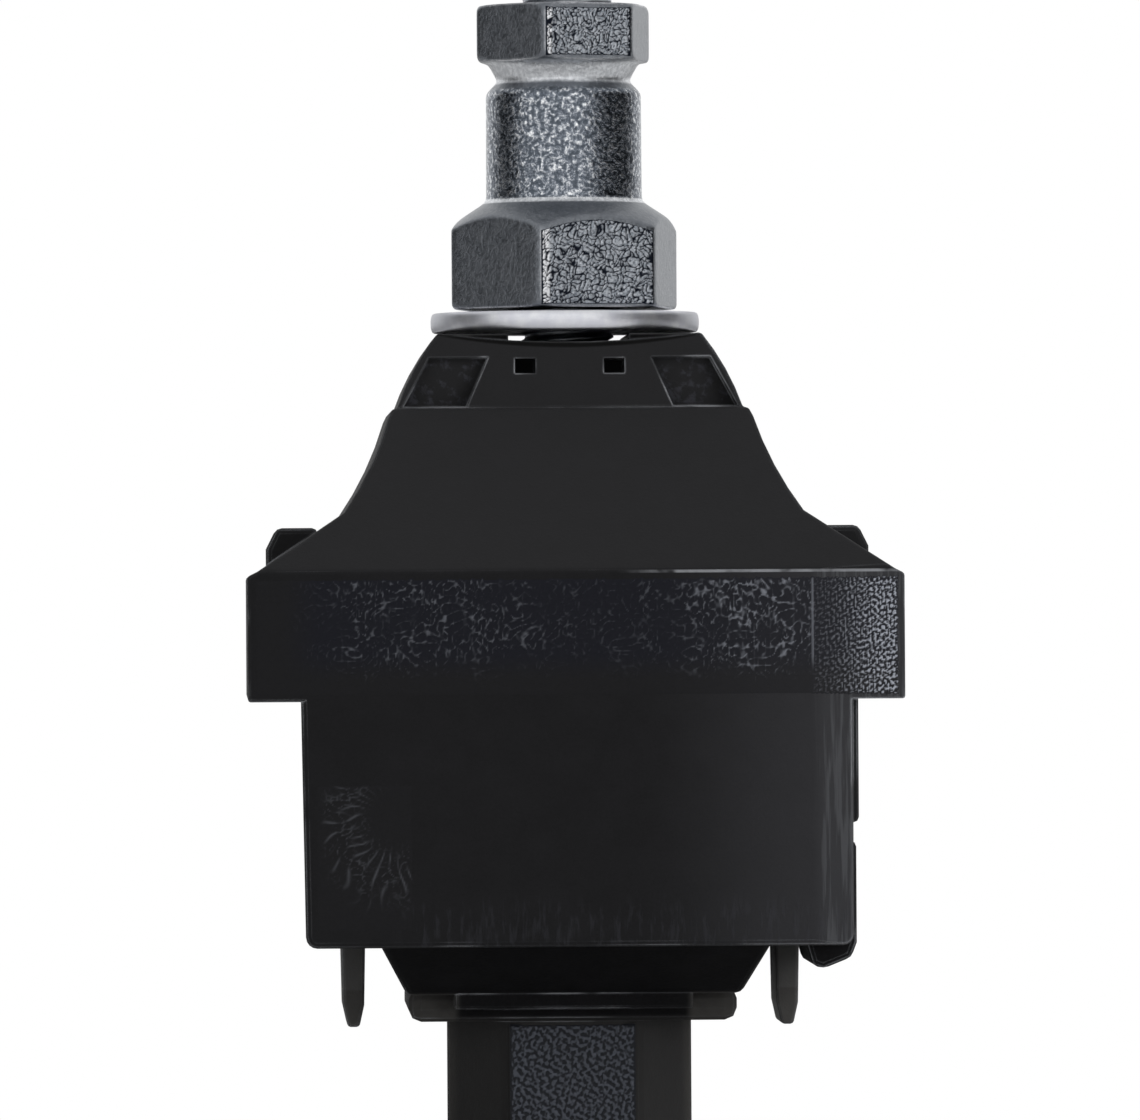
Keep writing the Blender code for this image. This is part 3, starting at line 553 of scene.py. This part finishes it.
def granular(name):
    """Blue-black nylon with a painted highlight in grey on the grain tops, read from how far they
    stand out.
    """
    finish = Finish(name)
    place = finish.place
    y = place.axis("Y")
    top = (POST_Y * MM - y).step(0.03 * MM, 0.11 * MM)
    grain = place.noise(5200, detail=2.0)
    normal = finish.bump(grain, 0.03 * MM)
    # Painted highlight on the grain tops.
    colour = finish.mix(top * (0.3 + grain * 0.9), GRAIN_LOW, GRAIN_HIGHLIGHT)
    finish.set(Specular_IOR_Level=0.25)
    return finish.set(Base_Color=colour, Roughness=0.5 + grain * 0.1, Normal=normal)


skin(
    "post_face",
    (-5.1, 5.1),
    (0.3, 13.6),
    post_relief,
    lambda x, z, out: np.stack([x, POST_Y - out, z], axis=-1),
    granular("granular nylon"),
    "lower",
    step=0.09,
    depth=0.10,
    sink=0.05,
    margin=0.25,
)


# Shear-head nut. One zinc-coated steel piece: the 17 mm hexagon that stays, its sleeve, a neck
# that breaks at the set torque and the 13 mm head that comes off. It is turned from hexagon bar,
# so each hexagon is cut by a cone.
NUT_TURN = math.radians(16.7)
NUT_FLATS = 17.0
NUT_HEIGHT = 8.7
SLEEVE_HEIGHT = 9.9
NECK_HEIGHT = 1.6
SHEAR_FLATS = 13.0
HEX_SHARPNESS = 90.0
nut_low, nut_high = (corner[2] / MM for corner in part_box("shear_nut"))
SLEEVE_LOW = nut_low + NUT_HEIGHT
NECK_LOW = SLEEVE_LOW + SLEEVE_HEIGHT
HEAD_LOW = NECK_LOW + NECK_HEIGHT
CONE_LOW_R, CONE_LOW = 9.95, SLEEVE_LOW - 2.35
CONE_HIGH_R, CONE_HIGH = 8.2, SLEEVE_LOW - 1.05
DARK_ZINC = (0.14, 0.155, 0.175)
MID_ZINC = (0.26, 0.275, 0.30)
SLEEVE_ZINC = (0.06, 0.075, 0.095)
DULL_GRAIN = (0.34, 0.38, 0.45)
BRIGHT_GRAIN = (0.98, 0.99, 1.0)
TURNED_BRIGHT = (0.85, 0.87, 0.90)
WORN_BRIGHT = (0.86, 0.87, 0.90)


def hexed(angles, limit, flats):
    """Distance from the axis of a hexagon inside a turned shape: a smooth least of the seven.

    r = (sum of (cos(angle - flat) / half the width)^p + (1 / limit)^p) ^ (-1/p), so that every
    corner comes out slightly rounded; columns are angles, rows are places along the profile.
    """
    power = HEX_SHARPNESS
    total = (1 / np.maximum(limit, 0.01)[:, None]) ** power + np.zeros_like(angles)[None, :]
    for side in range(6):
        towards = np.cos(angles - math.radians(60 * side))[None, :]
        total += (np.clip(towards, 0, None) / (flats[:, None] / 2)) ** power
    return total ** (-1 / power) * (limit > 0)[:, None]


def even_path(corners, step, ease=2):
    """Points every step mm along a (radius, level) path, averaged with neighbours ease times."""
    corners = np.array(corners)
    run = np.concatenate([[0], np.cumsum(np.linalg.norm(np.diff(corners, axis=0), axis=1))])
    places = np.linspace(0, run[-1], int(run[-1] / step) + 1)
    path = np.stack([np.interp(places, run, corners[:, i]) for i in range(2)], axis=-1)
    for _ in range(ease):
        path[1:-1] = (path[:-2] + 2 * path[1:-1] + path[2:]) / 4
    return path


def turned_points(path, flats, columns, start):
    """The path carried round the axis: (r cos a, r sin a, level), with r from hexed.

    Columns begin on a hexagon's corner to keep it crisp.
    """
    angles = np.arange(columns) * (math.tau / columns) + math.radians(30)
    radius = hexed(angles, path[:, 0], flats)
    way = angles + start - math.pi / 2
    level = np.repeat(path[:, 1:], columns, axis=1)
    return np.stack([radius * np.cos(way), radius * np.sin(way), level], axis=-1)


def nut_points():
    """Profile out from the bore's foot, up the outside, in over the head and down the bore."""
    low, high = nut_low, nut_high
    path = even_path(
        [
            (4.3, low + 0.55),
            (4.75, low),
            (9.35, low),
            (9.85, low + 0.35),
            (CONE_LOW_R, CONE_LOW),
            (CONE_HIGH_R, CONE_HIGH),
            (6.62, SLEEVE_LOW - 0.02),
            (6.38, SLEEVE_LOW + 0.25),
            (6.35, NECK_LOW - 0.95),
            (6.15, NECK_LOW - 0.7),
            (5.5, NECK_LOW - 0.05),
            (5.42, NECK_LOW + 0.15),
            (5.6, NECK_LOW + 0.5),
            (6.1, NECK_LOW + 1.4),
            (6.3, HEAD_LOW - 0.02),
            (7.0, HEAD_LOW + 0.02),
            (7.4, HEAD_LOW + 0.25),
            (7.6, HEAD_LOW + 0.8),
            (7.6, high - 0.6),
            (7.1, high - 0.05),
            (5.0, high),
            (4.3, high - 0.6),
            (4.3, low + 0.55),
        ],
        0.2,
    )[:-1]
    flats = np.where(path[:, 1] > NECK_LOW, SHEAR_FLATS, NUT_FLATS)
    return turned_points(path, flats, 192, NUT_TURN)


def zinc_coated(name):
    """Zinc coat: fine grains, bright on the sleeve, over slow clouds; bright edges and neck."""
    finish = Finish(name)
    place = finish.place
    z = place.axis("Z")
    wear, rounded = edges_of(finish, 0.35 * MM)
    fine = place.warp(1500, 0.4 * MM).noise(3000, detail=3.0, roughness=0.65)
    coarse = place.noise(900, detail=4.0, roughness=0.6)
    grains = fine.step(0.36, 0.68)
    sleeve = z.step((SLEEVE_LOW - 0.1) * MM, (SLEEVE_LOW + 0.3) * MM)
    sleeve = sleeve * z.step((NECK_LOW - 0.4) * MM, (NECK_LOW - 0.9) * MM)
    neck = z.step((NECK_LOW - 0.3) * MM, NECK_LOW * MM)
    neck = neck * z.step((HEAD_LOW + 0.1) * MM, (HEAD_LOW - 0.1) * MM)
    normal = finish.bump(grains, 0.015 * MM, rounded)
    normal = finish.bump(coarse, 0.04 * MM, normal)
    dark = finish.mix(coarse, DARK_ZINC, MID_ZINC)
    dark = finish.mix(sleeve * 0.85, dark, SLEEVE_ZINC)
    light = finish.mix(fine.step(0.45, 0.75), DULL_GRAIN, BRIGHT_GRAIN)
    colour = finish.mix(grains * (0.08 + sleeve * 0.85), dark, light)
    foot = z.step((SLEEVE_LOW - 0.1) * MM, SLEEVE_LOW * MM)
    foot = foot * z.step((SLEEVE_LOW + 0.35) * MM, (SLEEVE_LOW + 0.25) * MM)
    colour = finish.mix((neck + foot) * (0.6 + grains * 0.4), colour, TURNED_BRIGHT)
    worn = wear * (0.45 + 0.55 * place.noise(700, detail=2.0).step(0.35, 0.6))
    colour = finish.mix(worn, colour, WORN_BRIGHT)
    rough = 0.27 + coarse * 0.12 - wear * 0.05 - sleeve * 0.10
    return finish.set(Base_Color=colour, Metallic=1.0, Roughness=rough, Normal=normal)


points = nut_points()
object_of(
    "nut_body",
    points,
    quads_of(*points.shape[:2], looped=True),
    zinc_coated("zinc coat"),
    "nut",
    ["shear_nut"],
    30,
)


# Crackled coat. On the flats of both hexagons that face the front the thick zinc coat has
# crackled into light islands with dark cracks between them.
CRACK_DARK = (0.012, 0.015, 0.024)
ISLAND_DULL = (0.26, 0.29, 0.33)
ISLAND_LIGHT = (0.62, 0.65, 0.70)
ISLAND_STAIN = (0.12, 0.13, 0.155)
BEAD_WHITE = (0.96, 0.97, 1.0)


def crackle(u, v, spacing, seed):
    """Island height from 0 to 1: difference of the distances to the two nearest seeds.

    The seeds are a jittered grid, and the plane is bent first so that the cracks wander.
    """
    draw = np.random.default_rng(seed)
    bent_u = u + 0.16 * waves(u, v, 1.6, 0.4, 16, seed + 1)
    bent_v = v + 0.16 * waves(u, v, 1.6, 0.4, 16, seed + 2)
    lows = (u.min() - spacing, v.min() - spacing)
    highs = (u.max() + 2 * spacing, v.max() + 2 * spacing)
    seeds = np.stack(np.meshgrid(*(np.arange(a, b, spacing) for a, b in zip(lows, highs))), axis=-1)
    seeds = seeds.reshape(-1, 2)
    seeds = seeds + draw.uniform(-0.48, 0.48, seeds.shape) * spacing
    gaps = np.hypot(bent_u[..., None] - seeds[:, 0], bent_v[..., None] - seeds[:, 1])
    nearest = np.partition(gaps, 1, axis=-1)
    border = (nearest[..., 1] - nearest[..., 0]) / spacing
    pits = np.clip(0.9 - 0.35 * waves(u, v, 0.3, 0.3, 30, seed + 3), 0.3, 1)
    return np.clip((border - 0.08) / 0.30, 0, 1) ** 0.6 * pits


def crackled(name, half):
    """Light zinc islands with fine grain and dark cracks, read from how far the coat stands out.

    A narrow edge on the left, where the coat has run to the corner, is nearly white.
    """
    finish = Finish(name)
    place = finish.place
    x, y = place.axis("X"), place.axis("Y")
    outward = y * -math.cos(NUT_TURN) + x * math.sin(NUT_TURN)
    across = x * math.cos(NUT_TURN) + y * math.sin(NUT_TURN)
    island = (outward - half * MM).step(0.015 * MM, 0.065 * MM)
    fine = place.noise(4200, detail=3.0, roughness=0.65)
    patches = place.noise(420, detail=2.0)
    normal = finish.bump(fine, 0.05 * MM)
    light = finish.mix(fine.step(0.3, 0.7), ISLAND_DULL, ISLAND_LIGHT)
    light = finish.mix(patches.step(0.55, 0.75) * 0.4, light, ISLAND_STAIN)
    beads = across.step(-half * 0.47 * MM, -half * 0.50 * MM)
    light = finish.mix(beads, light, BEAD_WHITE)
    colour = finish.mix(island, CRACK_DARK, light)
    return finish.set(Base_Color=colour, Metallic=1.0, Roughness=0.5 - island * 0.08, Normal=normal)


def flat_place(half):
    """Places points of the nut's centre flat, half mm from the axis, from (across, level, out)."""
    sine, cosine = math.sin(NUT_TURN), math.cos(NUT_TURN)

    def place_of(u, v, out):
        reach = half + out
        return np.stack([u * cosine + reach * sine, u * sine - reach * cosine, v], axis=-1)

    return place_of


def arched(half, low, top):
    """Places as flat_place does, with v drawn out so that it runs from low to the cone's arc.

    The arc lies 0.3 mm under the cone at the radius hypot(half, u).
    """
    slope = (CONE_HIGH - CONE_LOW) / (CONE_LOW_R - CONE_HIGH_R)

    def place_of(u, v, out):
        radius = np.hypot(half, u)
        arc = CONE_HIGH - 0.3 - (radius - CONE_HIGH_R) * slope
        return flat_place(half)(u, low + (v - low) * (arc - low) / (top - low), out)

    return place_of


for name, half, wide, low, high, spacing, seed in (
    ("lower_crackle", NUT_FLATS / 2, 4.8, nut_low + 0.2, SLEEVE_LOW - 1.4, 0.50, 41),
    ("upper_crackle", SHEAR_FLATS / 2, 3.65, HEAD_LOW + 0.3, nut_high - 0.4, 0.36, 51),
):
    skin(
        name,
        (-wide, wide),
        (low, high),
        lambda u, v: crackle(u, v, spacing, seed),
        arched(half, low, high) if half == NUT_FLATS / 2 else flat_place(half),
        crackled(name.replace("_", " "), half),
        "nut",
        step=0.07,
        depth=0.07,
        sink=0.05,
        margin=0.2,
    )


# Clamp bolt. A hot-galvanised M8 bolt, held from turning by its hexagonal head in the post, with
# a rolled thread of 1.25 mm pitch over its upper part and a chamfered end.
BOLT_R = 4.0
BOLT_FLATS = 13.0
BOLT_HEAD_HEIGHT = 5.3
BOLT_CHAMFER = 0.9
PITCH = 1.25
THREAD_DEPTH = 0.72
THREAD_LOW = 60.0
GALVANISED_DARK = (0.30, 0.32, 0.35)
GALVANISED_LIGHT = (0.55, 0.57, 0.60)
GALVANISED_WORN = (0.75, 0.76, 0.78)
bolt_low, bolt_high = (corner[2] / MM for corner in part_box("clamp_bolt"))


def bolt_points():
    """Head and shank turned to a profile; above THREAD_LOW a helical groove is taken off.

    Groove depth follows |2 frac(z / pitch - turn) - 1| between a flat crest and a flat root.
    """
    head_top = bolt_low + BOLT_HEAD_HEIGHT
    thread_top = bolt_high - BOLT_CHAMFER
    columns = 96
    lower = even_path(
        [
            (0.0, bolt_low),
            (5.2, bolt_low),
            (7.0, bolt_low + 0.7),
            (7.65, bolt_low + 1.0),
            (7.65, head_top - 0.4),
            (6.9, head_top),
            (BOLT_R + 0.35, head_top),
            (BOLT_R, head_top + 0.35),
            (BOLT_R, THREAD_LOW),
        ],
        0.35,
        ease=1,
    )
    upper = even_path([(BOLT_R, THREAD_LOW), (BOLT_R, thread_top)], PITCH / 12, ease=0)[1:]
    tip = [(BOLT_R, thread_top), (3.05, bolt_high), (0.0, bolt_high)]
    path = np.concatenate([lower, upper, even_path(tip, 0.12, ease=1)[1:]])
    points = turned_points(path, np.full(len(path), BOLT_FLATS), columns, 0.0)
    turn = np.arange(columns)[None, :] / columns
    level = path[:, 1][:, None]
    wave = np.abs(2 * ((level / PITCH - turn) % 1.0) - 1)
    cut = THREAD_DEPTH * np.clip((wave - 0.13) / 0.62, 0, 1)
    cut = cut * np.clip((level - THREAD_LOW) / (2 * PITCH), 0, 1)
    limit = np.clip(path[:, 0][:, None], 1e-6, None)
    thinner = np.minimum(limit, BOLT_R - cut) / limit
    in_thread = level > THREAD_LOW
    points[..., :2] *= np.where(in_thread, thinner, 1.0)[..., None]
    return points


def galvanised(name):
    """Dull grey zinc with darker and lighter grain, lighter where the edges are worn."""
    finish = Finish(name)
    place = finish.place
    wear, rounded = edges_of(finish, 0.15 * MM)
    grain = place.noise(2600, detail=4.0, roughness=0.6)
    normal = finish.bump(grain, 0.03 * MM, rounded)
    colour = finish.mix(grain, GALVANISED_DARK, GALVANISED_LIGHT)
    colour = finish.mix(wear * 0.5, colour, GALVANISED_WORN)
    return finish.set(Base_Color=colour, Metallic=1.0, Roughness=0.34 + grain * 0.14, Normal=normal)


points = bolt_points()
object_of(
    "threaded_bolt",
    points,
    quads_of(*points.shape[:2]),
    galvanised("galvanised steel"),
    "lower",
    ["clamp_bolt"],
    40,
)


# Pressure washer. A bright steel ring, blanked and then rolled so that its rim is round. It lies
# loose between the nut and the crown's saddle and spreads the nut's load.
RIM_DEPTH = 0.45
RIM_PROUD = 0.1
WASHER_BORE_R = 4.45
NO_FLATS = 100.0
STEEL_DULL = (0.74, 0.75, 0.81)
STEEL_BRIGHT = (0.90, 0.91, 0.94)
STEEL_SHADE = (0.30, 0.31, 0.34)
washer_low, washer_high = (np.array(corner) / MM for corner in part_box("pressure_washer"))


def washer_points():
    """Ring section: rim (RIM_DEPTH sqrt(cos t), half the thickness * sin t) round a flat ring."""
    outer = washer_high[0] + RIM_PROUD - RIM_DEPTH
    low, high = washer_low[2], washer_high[2]
    turn = np.linspace(-math.pi / 2, math.pi / 2, 25)
    bulge = RIM_DEPTH * np.sqrt(np.clip(np.cos(turn), 0, 1))
    rim = np.stack([outer + bulge, (low + high + (high - low) * np.sin(turn)) / 2], axis=-1)
    bore = [(WASHER_BORE_R, high - 0.1), (WASHER_BORE_R, low + 0.05), (WASHER_BORE_R + 0.1, low)]
    top = [(6.5, high), (WASHER_BORE_R + 0.15, high - 0.02)]
    path = np.concatenate([bore, rim, top])
    return turned_points(path, np.full(len(path), NO_FLATS), 144, 0.0)


def bright_steel(name):
    """Rolled steel with rings of fine turning marks, a few dull spots and painted shade on the
    outer ends.
    """
    finish = Finish(name)
    place = finish.place
    x, y, z = place.axes()
    out = (x * x + y * y).math("SQRT")
    rings = place.node("ShaderNodeCombineXYZ", {}, {"X": out, "Y": 0.0, "Z": z})
    marks = rings.noise(5200, detail=2.0)
    spots = place.noise(700, detail=4.0)
    normal = finish.bump(marks, 0.012 * MM)
    colour = finish.mix(spots.step(0.35, 0.75), STEEL_DULL, STEEL_BRIGHT)
    # Painted shade: the ring's left and right ends, turned away from the front, darker.
    ends = abs(x).step(8.8 * MM, 10.2 * MM)
    colour = finish.mix(ends * 0.6, colour, STEEL_SHADE)
    rough = 0.30 + marks * 0.10 + spots * 0.10
    return finish.set(Base_Color=colour, Metallic=1.0, Roughness=rough, Normal=normal)


points = washer_points()
object_of(
    "rimmed_washer",
    points,
    quads_of(*points.shape[:2], looped=True),
    bright_steel("bright rolled steel"),
    "upper",
    ["pressure_washer"],
    50,
)


# Contact blades. Four tin-plated copper blades, blanked with a row of teeth for each cable, which
# bite through the insulation. The tin is bright on the flanks and thin on the blanked edges, where
# the copper shows through.
BLADE_X = 10.0
FLANK_X = 0.97
TIN_DULL = (0.62, 0.59, 0.54)
TIN_BRIGHT = (0.80, 0.78, 0.74)
TIN_WORN = (0.90, 0.88, 0.85)
BARE_COPPER = (0.66, 0.42, 0.28)


def tinned(name):
    """Clouded tin with drawing marks along the blade, copper on the edges between its flanks."""
    finish = Finish(name)
    place = finish.place
    wear, rounded = edges_of(finish, 0.12 * MM)
    x = place.axis("X")
    edge = abs(abs(x) - BLADE_X * MM).step(FLANK_X * MM, (FLANK_X - 0.07) * MM)
    drawn = place.stretch(1.0, 0.15, 1.0).noise(4200, detail=2.0)
    clouds = place.noise(600, detail=4.0)
    normal = finish.bump(drawn, 0.012 * MM, rounded)
    colour = finish.mix(clouds, TIN_DULL, TIN_BRIGHT)
    colour = finish.mix(edge * drawn * 0.6, colour, BARE_COPPER)
    colour = finish.mix(wear * 0.4, colour, TIN_WORN)
    rough = 0.26 + clouds * 0.14 + edge * 0.15
    return finish.set(Base_Color=colour, Metallic=1.0, Roughness=rough, Normal=normal)


tin = tinned("tinned copper")
for level in ("lower", "upper"):
    for side in ("left", "right"):
        blade = nodes[f"{level}_contact_{side}"]
        blade.data.materials.clear()
        blade.data.materials.append(tin)


# Seal boots. Eight soft black rubber blocks round the teeth, each with a groove for its cable and
# a slot for its blade. They are compression moulded, with soft edges, and press on the insulation.
BOOT_EDGE = 0.5
LIP_GAP = 0.15
GROOVE_R = 5.6
GROOVE_RISE = 2.8
SLOT_HALF_X = 1.3
SLOT_HALF_Y = 4.7
SLOT_FLOOR = 0.35
RUBBER_BLACK = (0.016, 0.016, 0.017)
RUBBER_BLOOM = (0.035, 0.035, 0.036)


def boot_points(low, high, up):
    """Two sheets over (x, y): the groove side and the flat base, closed into one block.

    The groove side's height is the block's, less the arc sqrt(GROOVE_R^2 - y^2) - GROOVE_RISE
    where that is positive; it drops to SLOT_FLOOR in the blade's slot and is rounded off at the
    rim by a quarter circle. The side faces down where up is true.
    """
    middle = (low + high) / 2
    half = (high - low) / 2
    # Shares of the half-sizes at which the grid has points, crowded at the rim and the slot.
    around = np.array([-1.0, -0.94, -0.85, -0.7, -0.5, -0.36, -0.311, -0.309, -0.15])
    across = np.concatenate([around, -around[::-1]]) * half[0]
    ends = [np.linspace(-1, -0.9, 5), np.linspace(-0.86, -0.74, 6), [-0.724, -0.722]]
    ends = np.concatenate(ends)
    along = np.concatenate([ends, np.linspace(-0.68, 0.68, 24), -ends[::-1]]) * half[1]
    x, y = np.meshgrid(across, along)
    tall = high[2] - low[2]
    arc = np.sqrt(np.clip(GROOVE_R**2 - y**2, 0, None)) - GROOVE_RISE - LIP_GAP
    groove = tall - np.clip(arc, 0, tall - 0.5)
    slot = (np.abs(x) < SLOT_HALF_X) & (np.abs(y) < SLOT_HALF_Y)
    groove = np.where(slot, SLOT_FLOOR, groove)
    rim = np.minimum(half[0] - np.abs(x), half[1] - np.abs(y))
    inset = np.clip(BOOT_EDGE - rim, 0, BOOT_EDGE)
    round_off = BOOT_EDGE - np.sqrt(np.clip(BOOT_EDGE**2 - inset**2, 0, None))
    open_side = np.where(slot, groove, groove - round_off)
    base = np.zeros_like(open_side)
    if up:
        levels = (high[2] - open_side, high[2] - base)
    else:
        levels = (low[2] + open_side, low[2] + base)
    sheets = (np.stack([x + middle[0], y + middle[1], level], axis=-1) for level in levels)
    return slab(*sheets)


def soft_rubber(name):
    """Matt black rubber with fine pores and a faint grey bloom."""
    finish = Finish(name)
    place = finish.place
    bloom = place.noise(500, detail=4.0)
    pores = place.noise(3800, detail=2.0)
    normal = finish.bump(pores, 0.02 * MM)
    colour = finish.mix(bloom.step(0.4, 0.8), RUBBER_BLACK, RUBBER_BLOOM)
    return finish.set(Base_Color=colour, Roughness=0.72 + pores * 0.12, Normal=normal)


rubber = soft_rubber("soft black rubber")
for name in sorted(nodes):
    if "seal" not in name:
        continue
    low, high = (np.array(corner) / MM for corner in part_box(name))
    level = name.split("_")[0]
    points = boot_points(low, high, level == "upper")
    quads = quads_of(*points.shape[:2])
    object_of(name.replace("seal", "boot"), points, quads, rubber, level, [name], 45)


# Studio. The photograph stands the connector before a white ground with soft light from the front
# and a dark room at both sides and overhead, which the metal mirrors; a pale floor takes its shade.
def place_camera():
    """Level camera at the photograph's distance; its image is 1140 by 1120 pixels."""
    width, height = 1140, 1120
    pixels_per_mm = 12.2
    distance = 860.0
    level = 48.0
    horizon_row = 600
    axis_column = 566.4
    azimuth = math.radians(-1.9)
    lean = math.radians(0.35)
    data = bpy.data.cameras.new("camera")
    data.sensor_width = 36.0
    data.sensor_fit = "HORIZONTAL"
    data.lens = pixels_per_mm * distance / width * data.sensor_width
    data.shift_x = (width / 2 - axis_column) / width
    data.shift_y = (horizon_row - height / 2) / width
    data.clip_end = 20.0
    made = bpy.data.objects.new("camera", data)
    bpy.context.scene.collection.objects.link(made)
    made.location = (
        distance * math.sin(azimuth) * MM,
        -distance * math.cos(azimuth) * MM,
        level * MM,
    )
    made.rotation_euler = (math.pi / 2, lean, azimuth)
    bpy.context.scene.camera = made


place_camera()


def softbox(name, place, aim, size, power):
    """A rectangular lamp that points at aim and doesn't show in the metal's reflections."""
    data = bpy.data.lights.new(name, "AREA")
    data.shape = "RECTANGLE"
    data.size, data.size_y = size
    data.energy = power
    made = bpy.data.objects.new(name, data)
    bpy.context.scene.collection.objects.link(made)
    made.location = place
    made.visible_glossy = False
    way = np.array(aim) - np.array(place)
    made.rotation_euler = (
        math.atan2(math.hypot(way[0], way[1]), -way[2]),
        0,
        math.atan2(way[1], way[0]) - math.pi / 2,
    )


softbox("right front", (0.50, -0.60, 0.25), (0, 0, 0.05), (0.4, 0.5), 3.5)
softbox("left front", (-0.45, -0.75, 0.15), (0, 0, 0.05), (0.3, 0.5), 1.2)
softbox("overhead", (0.0, 0.05, 0.7), (0, 0, 0.05), (0.5, 0.5), 2.0)


def studio_world():
    """White to the camera; to mirrors bright in front and behind, dark at the sides and above."""
    world = bpy.data.worlds.new("studio")
    bpy.context.scene.world = world
    world.use_nodes = True
    tree = world.node_tree
    background = tree.nodes["Background"]
    background.inputs["Color"].default_value = (1, 1, 1, 1)
    way = Wire(tree, tree.nodes.new("ShaderNodeTexCoord").outputs["Generated"])
    rays = tree.nodes.new("ShaderNodeLightPath")
    camera, glossy, through = (
        Wire(tree, rays.outputs[key])
        for key in ("Is Camera Ray", "Is Glossy Ray", "Is Transmission Ray")
    )
    x, y, z = way.axes()
    front = y.step(-0.15, -0.45) * x.step(0.75, 0.50)
    behind = y.step(0.35, 0.75)
    high = z.step(0.3, 0.65)
    mirrored = (0.02 + front + behind) * (1.0 - high) + high * 0.7
    seen = camera.math("MAXIMUM", through)
    strength = seen + (1.0 - seen) * (glossy * mirrored + (1.0 - glossy) * 0.2)
    tree.links.new(background.inputs["Strength"], strength.socket)


studio_world()


def floor_finish():
    """Pale matt floor that goes white to the camera away from the object."""
    finish = Finish("pale floor")
    place = finish.place
    rays = finish.tree.nodes.new("ShaderNodeLightPath")
    camera = Wire(finish.tree, rays.outputs["Is Camera Ray"])
    x, y = place.axis("X"), place.axis("Y")
    far = (x * x + y * y).math("SQRT").step(0.03, 0.12)
    finish.set(Base_Color=(0.80, 0.80, 0.80, 1), Roughness=0.8)
    white = place.node("ShaderNodeEmission", {}, {"Strength": 1.0}, "Emission")
    shader = Wire(finish.tree, finish.shader.outputs["BSDF"])
    factor = camera * (0.5 + far * 0.5)
    both = place.node("ShaderNodeMixShader", {}, {0: factor, 1: shader, 2: white}, "Shader")
    output = finish.tree.nodes["Material Output"]
    finish.tree.links.new(output.inputs["Surface"], both.socket)
    return finish.made


def lay_floor():
    """A square floor under the post's end, which is no part of the connector."""
    size = 1.5
    corners = [(-size, -size, 0), (size, -size, 0), (size, size, 0), (-size, size, 0)]
    mesh = bpy.data.meshes.new("floor")
    mesh.from_pydata(corners, [], [(0, 1, 2, 3)])
    mesh.materials.append(floor_finish())
    made = bpy.data.objects.new("floor", mesh)
    bpy.context.scene.collection.objects.link(made)


lay_floor()
bpy.context.scene.view_settings.view_transform = "Standard"
